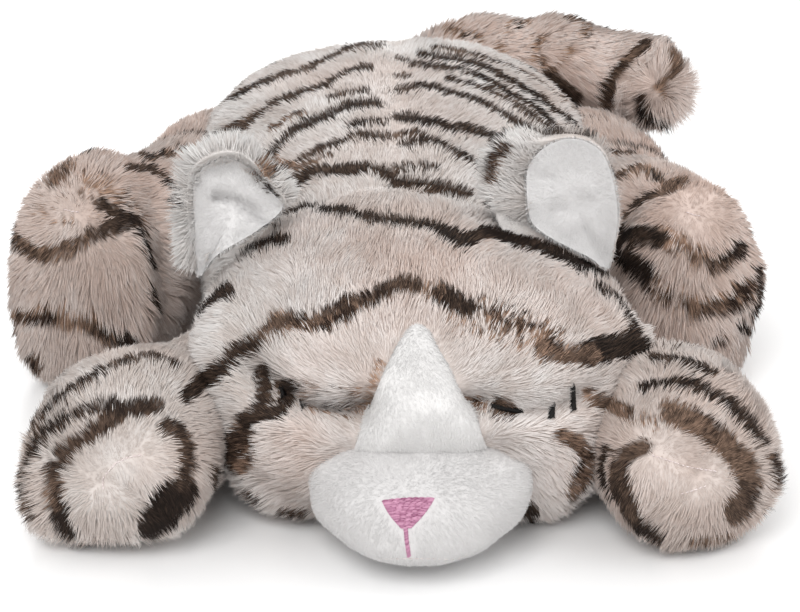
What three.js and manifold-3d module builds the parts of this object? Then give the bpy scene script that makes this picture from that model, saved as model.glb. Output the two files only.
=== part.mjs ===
// A sleeping plush tiger, lying flat on its belly with its chin on the floor.
// Millimetres, +Z up. +X is the viewer's right, and the face looks along -Y.
// The origin is on the floor, under the middle of the animal.

import * as THREE from 'three';
import { mergeVertices } from 'three/addons/utils/BufferGeometryUtils.js';
import Module from 'manifold-3d';

const wasm = await Module();
wasm.setup();

// Cloth and gaps
const furClothThickness = 3;
const napClothThickness = 1.6;
const threadThickness = 1.2;
const sewnGap = 0.3;
const turningGap = 0.6;
const runningGap = 2.2;
const restFlatDepth = 0.5;

// Body: a bag that is flat below and highest over the haunches
const bodyLength = 236;
const bodyWidth = 196;
const bodyHeight = 121;
const bodyFrontY = -58;
const bodyMiddleX = -4;
const bodyGirthHeight = 46;
const bodyChestRound = 60;
const bodyRumpRound = 70;
const bellySeamHeight = 20;
const bodyHalfWidthShares = [0.37, 0.4, 0.46, 0.5, 0.47, 0.38];
const bodyTopShares = [0.78, 0.85, 0.94, 1, 0.99, 0.8];
const bodySquareness = 2.3;
const bellySquareness = 3;

// Head: a broad ball, its cheeks low and wide
const headLength = 148;
const headWidth = 182;
const headHeight = 110;
const headRearY = -12;
const headFrontY = headRearY - headLength;
const headMiddleX = 5;
const headGirthHeight = 52;
const headFaceRound = 60;
const headNapeRound = 62;
const chinSeamHeight = 17;
const headHalfWidthShares = [0.46, 0.5, 0.5, 0.49, 0.44];
const headTopShares = [0.78, 0.93, 1, 1, 0.96];
const jowlSquareness = 2.5;

// Muzzle: a flattened cushion of short-napped cloth on the front of the head
const muzzleDepth = 72;
const muzzleWidth = 84;
const muzzleHeight = 50;
const muzzleStandOff = 26;
const muzzleFrontY = headFrontY - muzzleStandOff;
const muzzleGirthHeight = 22;
const muzzleSquareness = 2.4;
const muzzleHalfWidthShares = [0.48, 0.5, 0.5];
const muzzleTopShares = [0.96, 1, 1];

// Short-napped bridge from the muzzle to the brow
const bridgeApexHeight = 93;
const bridgeFootHeight = 42;
const bridgeFootWidth = 54;
const bridgeWaistShare = 0.52;

// Embroidery: pink nose and mouth, dark closed eyes with two lashes each
const noseWidth = 21;
const noseHeight = 9;
const noseTopHeight = 39;
const noseMiddleX = 2;
const mouthLength = 14;
const stitchWidth = 1.8;
const eyeLineWidth = 2;
const eyeLineLength = 24;
const eyeLineSag = 3;
const eyeInnerX = 29;
const eyeHeight = 65;
const lashLength = 10;
const lashSpacing = 8.5;
const lashDrop = 3;
const lashRise = 4;

// Ears: furred outside, lined with short-napped cloth
const earHeight = 60;
const earWidth = 48;
const earThickness = 9;
const earLiningThickness = 2.6;
const earHeightShare = 0.76;
const earSetbackShare = 0.6;
const earSpreadShares = { left: 0.395, right: 0.29 };
const earBaseHeight = earHeightShare * headHeight;
const earBaseY = headFrontY + earSetbackShare * headLength;
const earSidewaysLean = 6;
const earForwardLean = 3;
const earBaseRound = 20;
const earTipRound = 26;
const earHalfWidthShares = [0.4, 0.5, 0.46, 0.34];

// Front legs: out from the shoulders, past the cheeks, on round paws
const frontLegReach = 107;
const frontLegWidth = 76;
const frontPawFlatness = 26;
const shoulderSpread = 70;
const shoulderY = -44;
const shoulderHeight = 30;
const frontLegSplay = 0.41;
const frontLegShares = [0.41, 0.37, 0.41, 0.5, 0.5];

// Hind legs: thick thighs beside the rump, feet standing on their heels, soles forward
const hindLegReach = 125;
const hindLegWidth = 78;
const hindFootHeight = 101;
const hindFootFlatness = 16;
const hipSpread = 82;
const hipInset = 66;
const hipY = bodyFrontY + bodyLength - hipInset;
const hipHeight = 40;
const hindLegSplays = { left: 0.48, right: 0.33 };
const hindLegHalfWidthShares = [0.5, 0.54, 0.5, 0.46, 0.5];
const hindLegHalfHeightShares = [0.4, 0.44, 0.43, 0.47, 0.5];

// Tail: a thick roll from the rump, curled across the right haunch
const tailLength = 140;
const tailThickness = 50;
const tailRootX = -2;
const tailRootInset = 28;
const tailRootY = bodyFrontY + bodyLength - tailRootInset;
const tailRootHeight = 67;
const tailTipRound = 22;
const tailPathShares = [
  [0, 0, 0],
  [0.16, 0.13, 0.12],
  [0.45, 0.17, 0.17],
  [0.74, 0.1, 0.15],
  [0.98, -0.02, 0.12],
];
const tailThicknessShares = [0.42, 0.46, 0.48, 0.5, 0.5];

// Joints: places, axes and the turns that the seams allow, in radians
const napeHeight = 92;
const napeY = -24;
const headLift = THREE.MathUtils.degToRad(16);
const frontLegSwing = THREE.MathUtils.degToRad(20);
const hindLegSwing = THREE.MathUtils.degToRad(20);
const tailSwing = THREE.MathUtils.degToRad(40);
const earFold = THREE.MathUtils.degToRad(12);
const turnSteps = 2;

// Facets
const bodyFacets = { sides: 22, rings: 12 };
const headFacets = { sides: 20, rings: 11 };
const muzzleFacets = { sides: 16, rings: 8 };
const earFacets = { sides: 14, rings: 8 };
const limbFacets = { sides: 16, rings: 8 };
const tailFacets = { sides: 12, rings: 8 };

// Materials
const furCream = new THREE.MeshStandardMaterial({ color: 0xe6dcd4, roughness: 0.95, metalness: 0 });
const furGrey = new THREE.MeshStandardMaterial({ color: 0xd8d2cc, roughness: 0.95, metalness: 0 });
const napWhite = new THREE.MeshStandardMaterial({ color: 0xf1f1f2, roughness: 0.9, metalness: 0 });
const threadPink = new THREE.MeshStandardMaterial({ color: 0xcd76a6, roughness: 0.6, metalness: 0 });
const threadDark = new THREE.MeshStandardMaterial({ color: 0x2a211f, roughness: 0.6, metalness: 0 });
const stuffingWhite = new THREE.MeshStandardMaterial({ color: 0xf7f6f2, roughness: 1, metalness: 0 });

const upward = new THREE.Vector3(0, 0, 1);
const forward = new THREE.Vector3(0, -1, 0);
const rightward = new THREE.Vector3(1, 0, 0);

// A smooth line through a table of values that are evenly spaced along a form
function smoothTable(values) {
  const last = values.length - 1;
  return new THREE.SplineCurve(values.map((value, index) => new THREE.Vector2(index / last, value)));
}

// How far a form has swelled at a distance from its tip, where its end is round
function roundedEnd(distance, radius) {
  const share = Math.min(distance / radius, 1);
  return Math.sqrt(1 - (1 - share) ** 2);
}

function superellipse(angle, squareness) {
  const power = 2 / squareness;
  const across = Math.cos(angle);
  const rise = Math.sin(angle);
  return {
    across: Math.sign(across) * Math.abs(across) ** power,
    rise: Math.sign(rise) * Math.abs(rise) ** power,
  };
}

// A closed geometry from rings of points and the two points that close its ends
function closedRings(rings, startPoint, endPoint) {
  const sides = rings[0].length;
  const points = [startPoint, ...rings.flat(), endPoint];
  const faces = [];
  const at = (ring, side) => 1 + ring * sides + (side % sides);
  const lastRing = rings.length - 1;
  for (let side = 0; side < sides; side += 1) {
    faces.push(0, at(0, side), at(0, side + 1));
    faces.push(points.length - 1, at(lastRing, side + 1), at(lastRing, side));
    for (let ring = 0; ring < lastRing; ring += 1) {
      faces.push(at(ring, side), at(ring + 1, side), at(ring + 1, side + 1));
      faces.push(at(ring, side), at(ring + 1, side + 1), at(ring, side + 1));
    }
  }
  const geometry = new THREE.BufferGeometry().setFromPoints(points);
  geometry.setIndex(faces);
  return geometry;
}

// A stuffed form: rings that swell and taper along a path, round at both ends.
// A grown form is the same one with its skin moved outwards all over, or inwards where negative.
function stuffedForm(form, grow = 0) {
  const { path, sides, rings, upright = upward, squareness = 2 } = form;
  const undersideSquareness = form.undersideSquareness ?? squareness;
  const length = path.getLength();
  const grownLength = length + 2 * grow;
  const halfWidth = smoothTable(form.halfWidths);
  const halfTop = smoothTable(form.halfTops);
  const halfBottom = smoothTable(form.halfBottoms);
  const ringPoints = [];
  const placeAt = (along) => {
    const share = THREE.MathUtils.clamp(along / length, 0, 1);
    const tangent = path.getTangentAt(share);
    const centre = path.getPointAt(share).addScaledVector(tangent, along - share * length);
    return { share, tangent, centre };
  };
  for (let ring = 1; ring < rings; ring += 1) {
    const distance = (grownLength * (1 - Math.cos((Math.PI * ring) / rings))) / 2;
    const { share, tangent, centre } = placeAt(distance - grow);
    const swell = roundedEnd(distance, form.startRound + grow)
      * roundedEnd(grownLength - distance, form.endRound + grow);
    const sideways = tangent.clone().cross(upright).normalize();
    const ringUp = sideways.clone().cross(tangent);
    const points = [];
    for (let side = 0; side < sides; side += 1) {
      const below = side > sides / 2;
      const angle = (2 * Math.PI * side) / sides;
      const { across, rise } = superellipse(angle, below ? undersideSquareness : squareness);
      const halfHeight = (below ? halfBottom : halfTop).getPoint(share).y;
      const point = centre.clone();
      point.addScaledVector(sideways, across * swell * (halfWidth.getPoint(share).y + grow));
      point.addScaledVector(ringUp, rise * swell * (halfHeight + grow));
      points.push(point);
    }
    ringPoints.push(points);
  }
  return closedRings(ringPoints, placeAt(-grow).centre, placeAt(length + grow).centre);
}

// A geometry as a solid that can be joined and cut
function solidOf(geometry) {
  const bare = geometry.clone();
  bare.deleteAttribute('normal');
  bare.deleteAttribute('uv');
  const merged = mergeVertices(bare);
  return new wasm.Manifold(new wasm.Mesh({
    numProp: 3,
    vertProperties: new Float32Array(merged.attributes.position.array),
    triVerts: new Uint32Array(merged.index.array),
  }));
}

function geometryOf(solid) {
  const mesh = solid.getMesh();
  const geometry = new THREE.BufferGeometry();
  geometry.setAttribute('position', new THREE.BufferAttribute(mesh.vertProperties, 3));
  geometry.setIndex(new THREE.BufferAttribute(mesh.triVerts, 1));
  return geometry;
}

function blockBetween(low, high) {
  const size = high.clone().sub(low);
  const middle = high.clone().add(low).multiplyScalar(0.5);
  return solidOf(new THREE.BoxGeometry(size.x, size.y, size.z).translate(middle.x, middle.y, middle.z));
}

// An outline in the plane that faces the viewer, drawn out along Y from nearY back to farY
function faceOutline(points, nearY, farY) {
  const shape = new THREE.Shape(points.map(([x, z]) => new THREE.Vector2(x, z)));
  const geometry = new THREE.ExtrudeGeometry(shape, { depth: farY - nearY, bevelEnabled: false });
  return solidOf(geometry.rotateX(Math.PI / 2).translate(0, farY, 0));
}

// The turns at which a joint's neighbour is cut away, from rest to its limits
function turnsOf(joint) {
  const turns = [];
  for (let step = 0; step <= turnSteps; step += 1) {
    turns.push(THREE.MathUtils.lerp(joint.low, joint.high, step / turnSteps));
  }
  return turns;
}

function turnedAbout(geometry, joint, angle) {
  const { x, y, z } = joint.place;
  const turn = new THREE.Matrix4().makeRotationAxis(joint.axis, angle);
  return geometry.translate(-x, -y, -z).applyMatrix4(turn).translate(x, y, z);
}

// What is left of a piece where a bigger form has to clear it through all of the piece's own turns
function clearOfForm(piece, joint, form, gap) {
  return turnsOf(joint).reduce(
    (left, angle) => left.subtract(solidOf(turnedAbout(stuffedForm(form, gap), joint, -angle))),
    piece,
  );
}

// What is left of a piece where a form turns at another joint as well
function clearOfMovingForm(piece, joint, form, formJoint, gap) {
  let left = piece;
  for (const angle of [joint.low, joint.high]) {
    for (const formAngle of turnsOf(formJoint)) {
      const moved = turnedAbout(stuffedForm(form, gap), formJoint, formAngle);
      left = left.subtract(solidOf(turnedAbout(moved, joint, -angle)));
    }
  }
  return left;
}

// Blocks that cut a form reach past all of the animal
const reach = bodyLength + headLength;

// Forms

const straightPath = (start, end) => new THREE.LineCurve3(start, end);

const bodyForm = {
  path: straightPath(
    new THREE.Vector3(bodyMiddleX, bodyFrontY, bodyGirthHeight),
    new THREE.Vector3(bodyMiddleX, bodyFrontY + bodyLength, bodyGirthHeight),
  ),
  halfWidths: bodyHalfWidthShares.map((share) => share * bodyWidth),
  halfTops: bodyTopShares.map((share) => share * (bodyHeight - bodyGirthHeight)),
  halfBottoms: [bodyGirthHeight + restFlatDepth, bodyGirthHeight + restFlatDepth],
  startRound: bodyChestRound,
  endRound: bodyRumpRound,
  squareness: bodySquareness,
  undersideSquareness: bellySquareness,
  ...bodyFacets,
};

const headForm = {
  path: straightPath(
    new THREE.Vector3(headMiddleX, headFrontY, headGirthHeight),
    new THREE.Vector3(headMiddleX, headFrontY + headLength, headGirthHeight),
  ),
  halfWidths: headHalfWidthShares.map((share) => share * headWidth),
  halfTops: headTopShares.map((share) => share * (headHeight - headGirthHeight)),
  halfBottoms: [headGirthHeight + restFlatDepth, headGirthHeight + restFlatDepth],
  startRound: headFaceRound,
  endRound: headNapeRound,
  undersideSquareness: jowlSquareness,
  ...headFacets,
};

const muzzleForm = {
  path: straightPath(
    new THREE.Vector3(headMiddleX, muzzleFrontY, muzzleGirthHeight),
    new THREE.Vector3(headMiddleX, muzzleFrontY + muzzleDepth, muzzleGirthHeight),
  ),
  halfWidths: muzzleHalfWidthShares.map((share) => share * muzzleWidth),
  halfTops: muzzleTopShares.map((share) => share * (muzzleHeight - muzzleGirthHeight)),
  halfBottoms: [muzzleGirthHeight + restFlatDepth, muzzleGirthHeight + restFlatDepth],
  startRound: muzzleDepth / 2,
  endRound: muzzleDepth / 2,
  squareness: muzzleSquareness,
  ...muzzleFacets,
};

// A leg lies on the floor: its middle line is half its height up all along
function legForm({ start, direction, length, halfWidths, halfHeights, flatness, facets }) {
  const last = halfHeights.length - 1;
  const middles = halfHeights.map((halfHeight, index) => {
    const place = start.clone().addScaledVector(direction, (length * index) / last);
    return place.setZ(halfHeight - restFlatDepth);
  });
  return {
    path: new THREE.CatmullRomCurve3(middles),
    halfWidths,
    halfTops: halfHeights,
    halfBottoms: halfHeights,
    startRound: halfWidths[0],
    endRound: flatness,
    ...facets,
  };
}

const mirrorOf = { left: -1, right: 1 };

function frontLegForm(hand) {
  const radii = frontLegShares.map((share) => share * frontLegWidth);
  const mirror = mirrorOf[hand];
  const direction = new THREE.Vector3(mirror * Math.sin(frontLegSplay), -Math.cos(frontLegSplay), 0);
  const shoulder = new THREE.Vector3(mirror * shoulderSpread, shoulderY, 0);
  return legForm({
    start: shoulder.addScaledVector(direction, -radii[0]),
    direction,
    length: radii[0] + frontLegReach + frontPawFlatness,
    halfWidths: radii,
    halfHeights: radii,
    flatness: frontPawFlatness,
    facets: limbFacets,
  });
}

function hindLegForm(hand) {
  const halfWidths = hindLegHalfWidthShares.map((share) => share * hindLegWidth);
  const splay = hindLegSplays[hand];
  const direction = new THREE.Vector3(mirrorOf[hand] * Math.sin(splay), -Math.cos(splay), 0);
  const hip = new THREE.Vector3(mirrorOf[hand] * hipSpread, hipY, 0);
  return legForm({
    start: hip.addScaledVector(direction, -halfWidths[0]),
    direction,
    length: halfWidths[0] + hindLegReach + hindFootFlatness,
    halfWidths,
    halfHeights: hindLegHalfHeightShares.map((share) => share * hindFootHeight),
    flatness: hindFootFlatness,
    facets: limbFacets,
  });
}

const tailRoot = new THREE.Vector3(tailRootX, tailRootY, tailRootHeight);
const tailForm = {
  path: new THREE.CatmullRomCurve3(tailPathShares.map(
    (shares) => new THREE.Vector3(...shares).multiplyScalar(tailLength).add(tailRoot),
  )),
  halfWidths: tailThicknessShares.map((share) => share * tailThickness),
  halfTops: tailThicknessShares.map((share) => share * tailThickness),
  halfBottoms: tailThicknessShares.map((share) => share * tailThickness),
  startRound: tailThickness / 2,
  endRound: tailTipRound,
  ...tailFacets,
};

function earBaseOf(hand) {
  const spread = earSpreadShares[hand] * headWidth;
  return new THREE.Vector3(headMiddleX + mirrorOf[hand] * spread, earBaseY, earBaseHeight);
}

// An ear stands up from the crown, broad low down and round at the tip
function earForm(hand) {
  const base = earBaseOf(hand);
  const tip = base.clone().add(
    new THREE.Vector3(mirrorOf[hand] * earSidewaysLean, -earForwardLean, earHeight),
  );
  return {
    path: straightPath(base, tip),
    upright: forward,
    halfWidths: earHalfWidthShares.map((share) => share * earWidth),
    halfTops: [earThickness / 2, earThickness / 2],
    halfBottoms: [earThickness / 2, earThickness / 2],
    startRound: earBaseRound,
    endRound: earTipRound,
    ...earFacets,
  };
}

// Joints: where each body turns, from rest to its limits

const neck = {
  place: new THREE.Vector3(headMiddleX, napeY, napeHeight),
  axis: rightward.clone().negate(),
  low: 0,
  high: headLift,
};

function shoulderOf(hand) {
  return {
    place: new THREE.Vector3(mirrorOf[hand] * shoulderSpread, shoulderY, shoulderHeight),
    axis: upward.clone().multiplyScalar(mirrorOf[hand]),
    low: 0,
    high: frontLegSwing,
  };
}

function hipOf(hand) {
  return {
    place: new THREE.Vector3(mirrorOf[hand] * hipSpread, hipY, hipHeight),
    axis: upward.clone().multiplyScalar(mirrorOf[hand]),
    low: 0,
    high: hindLegSwing,
  };
}

const tailJoint = {
  place: tailRoot.clone(),
  axis: upward,
  low: 0,
  high: tailSwing,
};

function earJointOf(hand) {
  return {
    place: earBaseOf(hand),
    axis: rightward,
    low: -earFold,
    high: earFold,
  };
}

// Every part of a body hangs on a group at the body's joint
const tiger = new THREE.Group();

function jointGroup(joint, parent = tiger) {
  const group = new THREE.Group();
  group.position.copy(joint.place).sub(parent.userData.place ?? new THREE.Vector3());
  group.userData.place = joint.place.clone();
  parent.add(group);
  return group;
}

function addPiece(group, name, solid, material) {
  const geometry = geometryOf(solid);
  const place = group.userData.place ?? new THREE.Vector3();
  geometry.translate(-place.x, -place.y, -place.z);
  const mesh = new THREE.Mesh(geometry, material);
  mesh.name = name;
  group.add(mesh);
}

// The fabric bag of a form, and the wadding inside it
function coverOf(form, thickness) {
  return solidOf(stuffedForm(form)).subtract(solidOf(stuffedForm(form, -thickness)));
}

// Wadding has half as many sides as its bag, so that its corners alone reach the cloth
function waddingOf(form, thickness) {
  return solidOf(stuffedForm({ ...form, sides: form.sides / 2 }, -thickness - sewnGap));
}

// Everything from far under the floor up to a height
function layerUpTo(height) {
  return blockBetween(
    new THREE.Vector3(-reach, -reach, -reach),
    new THREE.Vector3(reach, reach, height),
  );
}

// A cover that lies flat on the floor, and keeps its cloth's thickness there
function groundedCover(form, thickness) {
  const hollow = solidOf(stuffedForm(form, -thickness)).subtract(layerUpTo(thickness));
  return solidOf(stuffedForm(form)).subtract(layerUpTo(0)).subtract(hollow);
}

// The wadding of such a cover stands on the cloth under it
function groundedWadding(form, thickness) {
  return waddingOf(form, thickness).subtract(layerUpTo(thickness + sewnGap));
}

// Three panels of a cover: two sides that meet on a seam along the top, and one below
function seamedPanels(cover, seamX, seamHeight) {
  const half = sewnGap / 2;
  const low = -reach;
  return {
    left: cover.intersect(blockBetween(
      new THREE.Vector3(low, low, seamHeight + half),
      new THREE.Vector3(seamX - half, reach, reach),
    )),
    right: cover.intersect(blockBetween(
      new THREE.Vector3(seamX + half, low, seamHeight + half),
      new THREE.Vector3(reach, reach, reach),
    )),
    below: cover.intersect(blockBetween(
      new THREE.Vector3(low, low, low),
      new THREE.Vector3(reach, reach, seamHeight - half),
    )),
  };
}

function addBody() {
  const cover = groundedCover(bodyForm, furClothThickness);
  const panels = seamedPanels(cover, bodyMiddleX, bellySeamHeight);
  addPiece(tiger, 'body_back_left', panels.left, furGrey);
  addPiece(tiger, 'body_back_right', panels.right, furGrey);
  addPiece(tiger, 'body_belly', panels.below, furCream);
  addPiece(tiger, 'body_stuffing', groundedWadding(bodyForm, furClothThickness), stuffingWhite);
}

// A thin layer that lies on a form within an outline seen from the front
function layerOn(form, thickness, outline, nearY, farY) {
  const outer = solidOf(stuffedForm(form, sewnGap + thickness));
  const inner = solidOf(stuffedForm(form, sewnGap));
  return outer.subtract(inner).intersect(faceOutline(outline, nearY, farY));
}

function addMuzzle(group) {
  const headRoom = solidOf(stuffedForm(headForm, sewnGap));
  const cover = groundedCover(muzzleForm, napClothThickness).subtract(headRoom);
  const wadding = groundedWadding(muzzleForm, napClothThickness).subtract(headRoom);
  addPiece(group, 'muzzle_cover', cover, napWhite);
  addPiece(group, 'muzzle_stuffing', wadding, stuffingWhite);

  const farY = muzzleFrontY + muzzleDepth / 2;
  const nearY = muzzleFrontY - muzzleDepth / 2;
  const nose = [
    [noseMiddleX - noseWidth / 2, noseTopHeight],
    [noseMiddleX, noseTopHeight - noseHeight],
    [noseMiddleX + noseWidth / 2, noseTopHeight],
  ];
  const mouthTop = noseTopHeight - noseHeight - sewnGap - stitchWidth / 2;
  const mouth = [
    [noseMiddleX - stitchWidth / 2, mouthTop],
    [noseMiddleX - stitchWidth / 2, mouthTop - mouthLength],
    [noseMiddleX + stitchWidth / 2, mouthTop - mouthLength],
    [noseMiddleX + stitchWidth / 2, mouthTop],
  ];
  const noseLayer = layerOn(muzzleForm, threadThickness, nose, nearY, farY);
  const mouthLayer = layerOn(muzzleForm, threadThickness, mouth, nearY, farY);
  addPiece(group, 'nose_embroidery', noseLayer, threadPink);
  addPiece(group, 'mouth_stitch', mouthLayer.subtract(layerUpTo(0)), threadPink);
}

function addNoseBridge(group) {
  const waistHeight = THREE.MathUtils.lerp(bridgeFootHeight, bridgeApexHeight, 0.5);
  const waistHalf = (bridgeWaistShare * bridgeFootWidth) / 2;
  const footHalf = bridgeFootWidth / 2;
  const outline = [
    [headMiddleX - footHalf, bridgeFootHeight],
    [headMiddleX + footHalf, bridgeFootHeight],
    [headMiddleX + waistHalf, waistHeight],
    [headMiddleX, bridgeApexHeight],
    [headMiddleX - waistHalf, waistHeight],
  ];
  const muzzleRoom = solidOf(stuffedForm(muzzleForm, sewnGap));
  const middleY = headFrontY + headLength / 2;
  const layer = layerOn(headForm, napClothThickness, outline, muzzleFrontY, middleY);
  addPiece(group, 'nose_bridge', layer.subtract(muzzleRoom), napWhite);
}

// A closed eye: a line that sags in the middle, and two short upright lashes below its outer end
function addEye(group, hand) {
  const mirror = mirrorOf[hand];
  const middleY = headFrontY + headLength / 2;
  const outlineSteps = 6;
  const lineAt = (share) => [
    headMiddleX + mirror * (eyeInnerX + share * eyeLineLength),
    eyeHeight - eyeLineSag * Math.sin(Math.PI * share),
  ];
  const upper = [];
  const lower = [];
  for (let step = 0; step <= outlineSteps; step += 1) {
    const [x, z] = lineAt(step / outlineSteps);
    upper.push([x, z + eyeLineWidth / 2]);
    lower.unshift([x, z - eyeLineWidth / 2]);
  }
  const line = layerOn(headForm, threadThickness, [...upper, ...lower], muzzleFrontY, middleY);
  addPiece(group, `eye_line_${hand}`, line, threadDark);
  for (const [index, name] of ['inner', 'outer'].entries()) {
    const x = headMiddleX + mirror * (eyeInnerX + eyeLineLength + index * lashSpacing + stitchWidth);
    const z = eyeHeight - lashDrop + index * lashRise;
    const lash = [
      [x - stitchWidth / 2, z - lashLength / 2],
      [x + stitchWidth / 2, z - lashLength / 2],
      [x + stitchWidth / 2, z + lashLength / 2],
      [x - stitchWidth / 2, z + lashLength / 2],
    ];
    const layer = layerOn(headForm, threadThickness, lash, muzzleFrontY, middleY);
    addPiece(group, `eyelash_${hand}_${name}`, layer, threadDark);
  }
}

// An ear is two layers that meet on a flat seam: a furred back that makes the rim, and its lining
function addEar(headGroup, hand) {
  const joint = earJointOf(hand);
  const group = jointGroup(joint, headGroup);
  const ear = clearOfForm(solidOf(stuffedForm(earForm(hand))), joint, headForm, sewnGap);
  const frontY = earBaseY - (earThickness + earForwardLean) / 2;
  const seamY = frontY + earLiningThickness;
  const back = ear.intersect(blockBetween(
    new THREE.Vector3(-reach, seamY + sewnGap, 0),
    new THREE.Vector3(reach, reach, reach),
  ));
  const lining = ear.intersect(blockBetween(
    new THREE.Vector3(-reach, -reach, 0),
    new THREE.Vector3(reach, seamY, reach),
  ));
  addPiece(group, `ear_${hand}_back`, back, furCream);
  addPiece(group, `ear_${hand}_lining`, lining, napWhite);
}

function addHead() {
  const group = jointGroup(neck);
  const cover = clearOfForm(groundedCover(headForm, furClothThickness), neck, bodyForm, sewnGap);
  const wadding = clearOfForm(groundedWadding(headForm, furClothThickness), neck, bodyForm, sewnGap);
  const panels = seamedPanels(cover, headMiddleX, chinSeamHeight);
  addPiece(group, 'head_panel_left', panels.left, furCream);
  addPiece(group, 'head_panel_right', panels.right, furCream);
  addPiece(group, 'chin_panel', panels.below, furCream);
  addPiece(group, 'head_stuffing', wadding, stuffingWhite);
  addNoseBridge(group);
  addMuzzle(group);
  for (const hand of ['left', 'right']) {
    addEye(group, hand);
    addEar(group, hand);
  }
}

function addFrontLeg(hand) {
  const joint = shoulderOf(hand);
  const group = jointGroup(joint);
  const form = frontLegForm(hand);
  const trim = (piece) => clearOfMovingForm(
    clearOfForm(piece, joint, bodyForm, turningGap),
    joint,
    headForm,
    neck,
    runningGap,
  );
  const cover = trim(groundedCover(form, furClothThickness));
  const wadding = trim(groundedWadding(form, furClothThickness));
  addPiece(group, `front_leg_${hand}_cover`, cover, furCream);
  addPiece(group, `front_leg_${hand}_stuffing`, wadding, stuffingWhite);
}

function addHindLeg(hand) {
  const joint = hipOf(hand);
  const group = jointGroup(joint);
  const form = hindLegForm(hand);
  const trim = (piece) => clearOfForm(piece, joint, bodyForm, turningGap);
  const cover = trim(groundedCover(form, furClothThickness));
  const wadding = trim(groundedWadding(form, furClothThickness));
  addPiece(group, `hind_leg_${hand}_cover`, cover, furCream);
  addPiece(group, `hind_leg_${hand}_stuffing`, wadding, stuffingWhite);
}

function addTail() {
  const group = jointGroup(tailJoint);
  const haunch = solidOf(stuffedForm(hindLegForm('right'), runningGap));
  const trim = (piece) => clearOfForm(piece, tailJoint, bodyForm, turningGap).subtract(haunch);
  addPiece(group, 'tail_cover', trim(coverOf(tailForm, furClothThickness)), furCream);
  addPiece(group, 'tail_stuffing', trim(waddingOf(tailForm, furClothThickness)), stuffingWhite);
}

addBody();
addHead();
addFrontLeg('left');
addFrontLeg('right');
addHindLeg('left');
addHindLeg('right');
addTail();

export default tiger;
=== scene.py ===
"""Looks of the sleeping plush tiger: pelts, fur pile, napped face, embroidery, ears and a studio stage."""

import math
import types

import bpy
import numpy as np
from bpy.props import FloatProperty, FloatVectorProperty, PointerProperty
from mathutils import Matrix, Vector
from mathutils.bvhtree import BVHTree


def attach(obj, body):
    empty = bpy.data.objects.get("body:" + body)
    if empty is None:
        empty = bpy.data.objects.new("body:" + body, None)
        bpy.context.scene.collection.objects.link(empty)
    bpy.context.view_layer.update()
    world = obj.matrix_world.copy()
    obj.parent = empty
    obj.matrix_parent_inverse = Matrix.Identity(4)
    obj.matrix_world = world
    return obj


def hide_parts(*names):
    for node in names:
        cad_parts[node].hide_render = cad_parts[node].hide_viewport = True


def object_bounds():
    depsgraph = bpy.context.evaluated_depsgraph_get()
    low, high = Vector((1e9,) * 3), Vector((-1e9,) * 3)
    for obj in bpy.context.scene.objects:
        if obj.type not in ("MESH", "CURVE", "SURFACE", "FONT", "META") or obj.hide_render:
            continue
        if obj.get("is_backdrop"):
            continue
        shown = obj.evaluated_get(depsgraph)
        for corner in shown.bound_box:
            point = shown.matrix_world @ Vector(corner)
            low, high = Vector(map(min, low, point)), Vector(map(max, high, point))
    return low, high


bl_info = {
    "name": "Sleeping plush tiger",
    "version": (1, 0, 0),
    "blender": (4, 5, 0),
    "location": "View3D > Sidebar > Plush tiger",
    "description": "Dresses a jointed plush tiger with fur, nap and embroidery",
    "category": "Object",
}

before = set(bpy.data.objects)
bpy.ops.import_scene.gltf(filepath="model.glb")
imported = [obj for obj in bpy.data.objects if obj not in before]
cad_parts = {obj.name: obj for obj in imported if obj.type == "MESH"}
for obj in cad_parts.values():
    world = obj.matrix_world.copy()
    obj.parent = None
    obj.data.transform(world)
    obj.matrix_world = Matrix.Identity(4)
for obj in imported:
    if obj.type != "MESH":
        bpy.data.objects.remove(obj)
CAD_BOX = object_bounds()

MM = 0.001
MAP_NAME = "OFBake"
HANDS = {"left": -1, "right": 1}
LEGS = [f"{pair}_{hand}" for pair in ("front_leg", "hind_leg") for hand in HANDS]
# Each furred bag: the body that it rides on, how tight its filling is, its seed and the solids that it stands for
BAGS = {
    "body": ("torso", 0.6, 101, ["body_back_left", "body_back_right", "body_belly", "body_stuffing"]),
    "head": ("head", 0.75, 201, ["head_panel_left", "head_panel_right", "chin_panel", "head_stuffing"]),
    "tail": ("tail", 0.7, 401, ["tail_cover", "tail_stuffing"]),
    "ear_left": ("ear_left", 0.3, 500, ["ear_left_back"]),
    "ear_right": ("ear_right", 0.3, 502, ["ear_right_back"]),
}
for step, name in enumerate(LEGS):
    BAGS[name] = (name, 0.7, 301 + 20 * step, [f"{name}_cover", f"{name}_stuffing"])


def kind(name):
    """A bag's name without its side."""
    return name.removesuffix("_left").removesuffix("_right")


# Camera, as the animal was looked at: pixels of an 800 x 612 picture
PICTURE = (800, 612)
CAMERA_PLACE = np.array((-2.0, -1053.4, 507.1))
CAMERA_PITCH = math.radians(24)
AHEAD = np.array((0, math.cos(CAMERA_PITCH), -math.sin(CAMERA_PITCH)))
UP = np.array((0, math.sin(CAMERA_PITCH), math.cos(CAMERA_PITCH)))
FOCAL_PIXELS = 2650
SENSOR = 36

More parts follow.
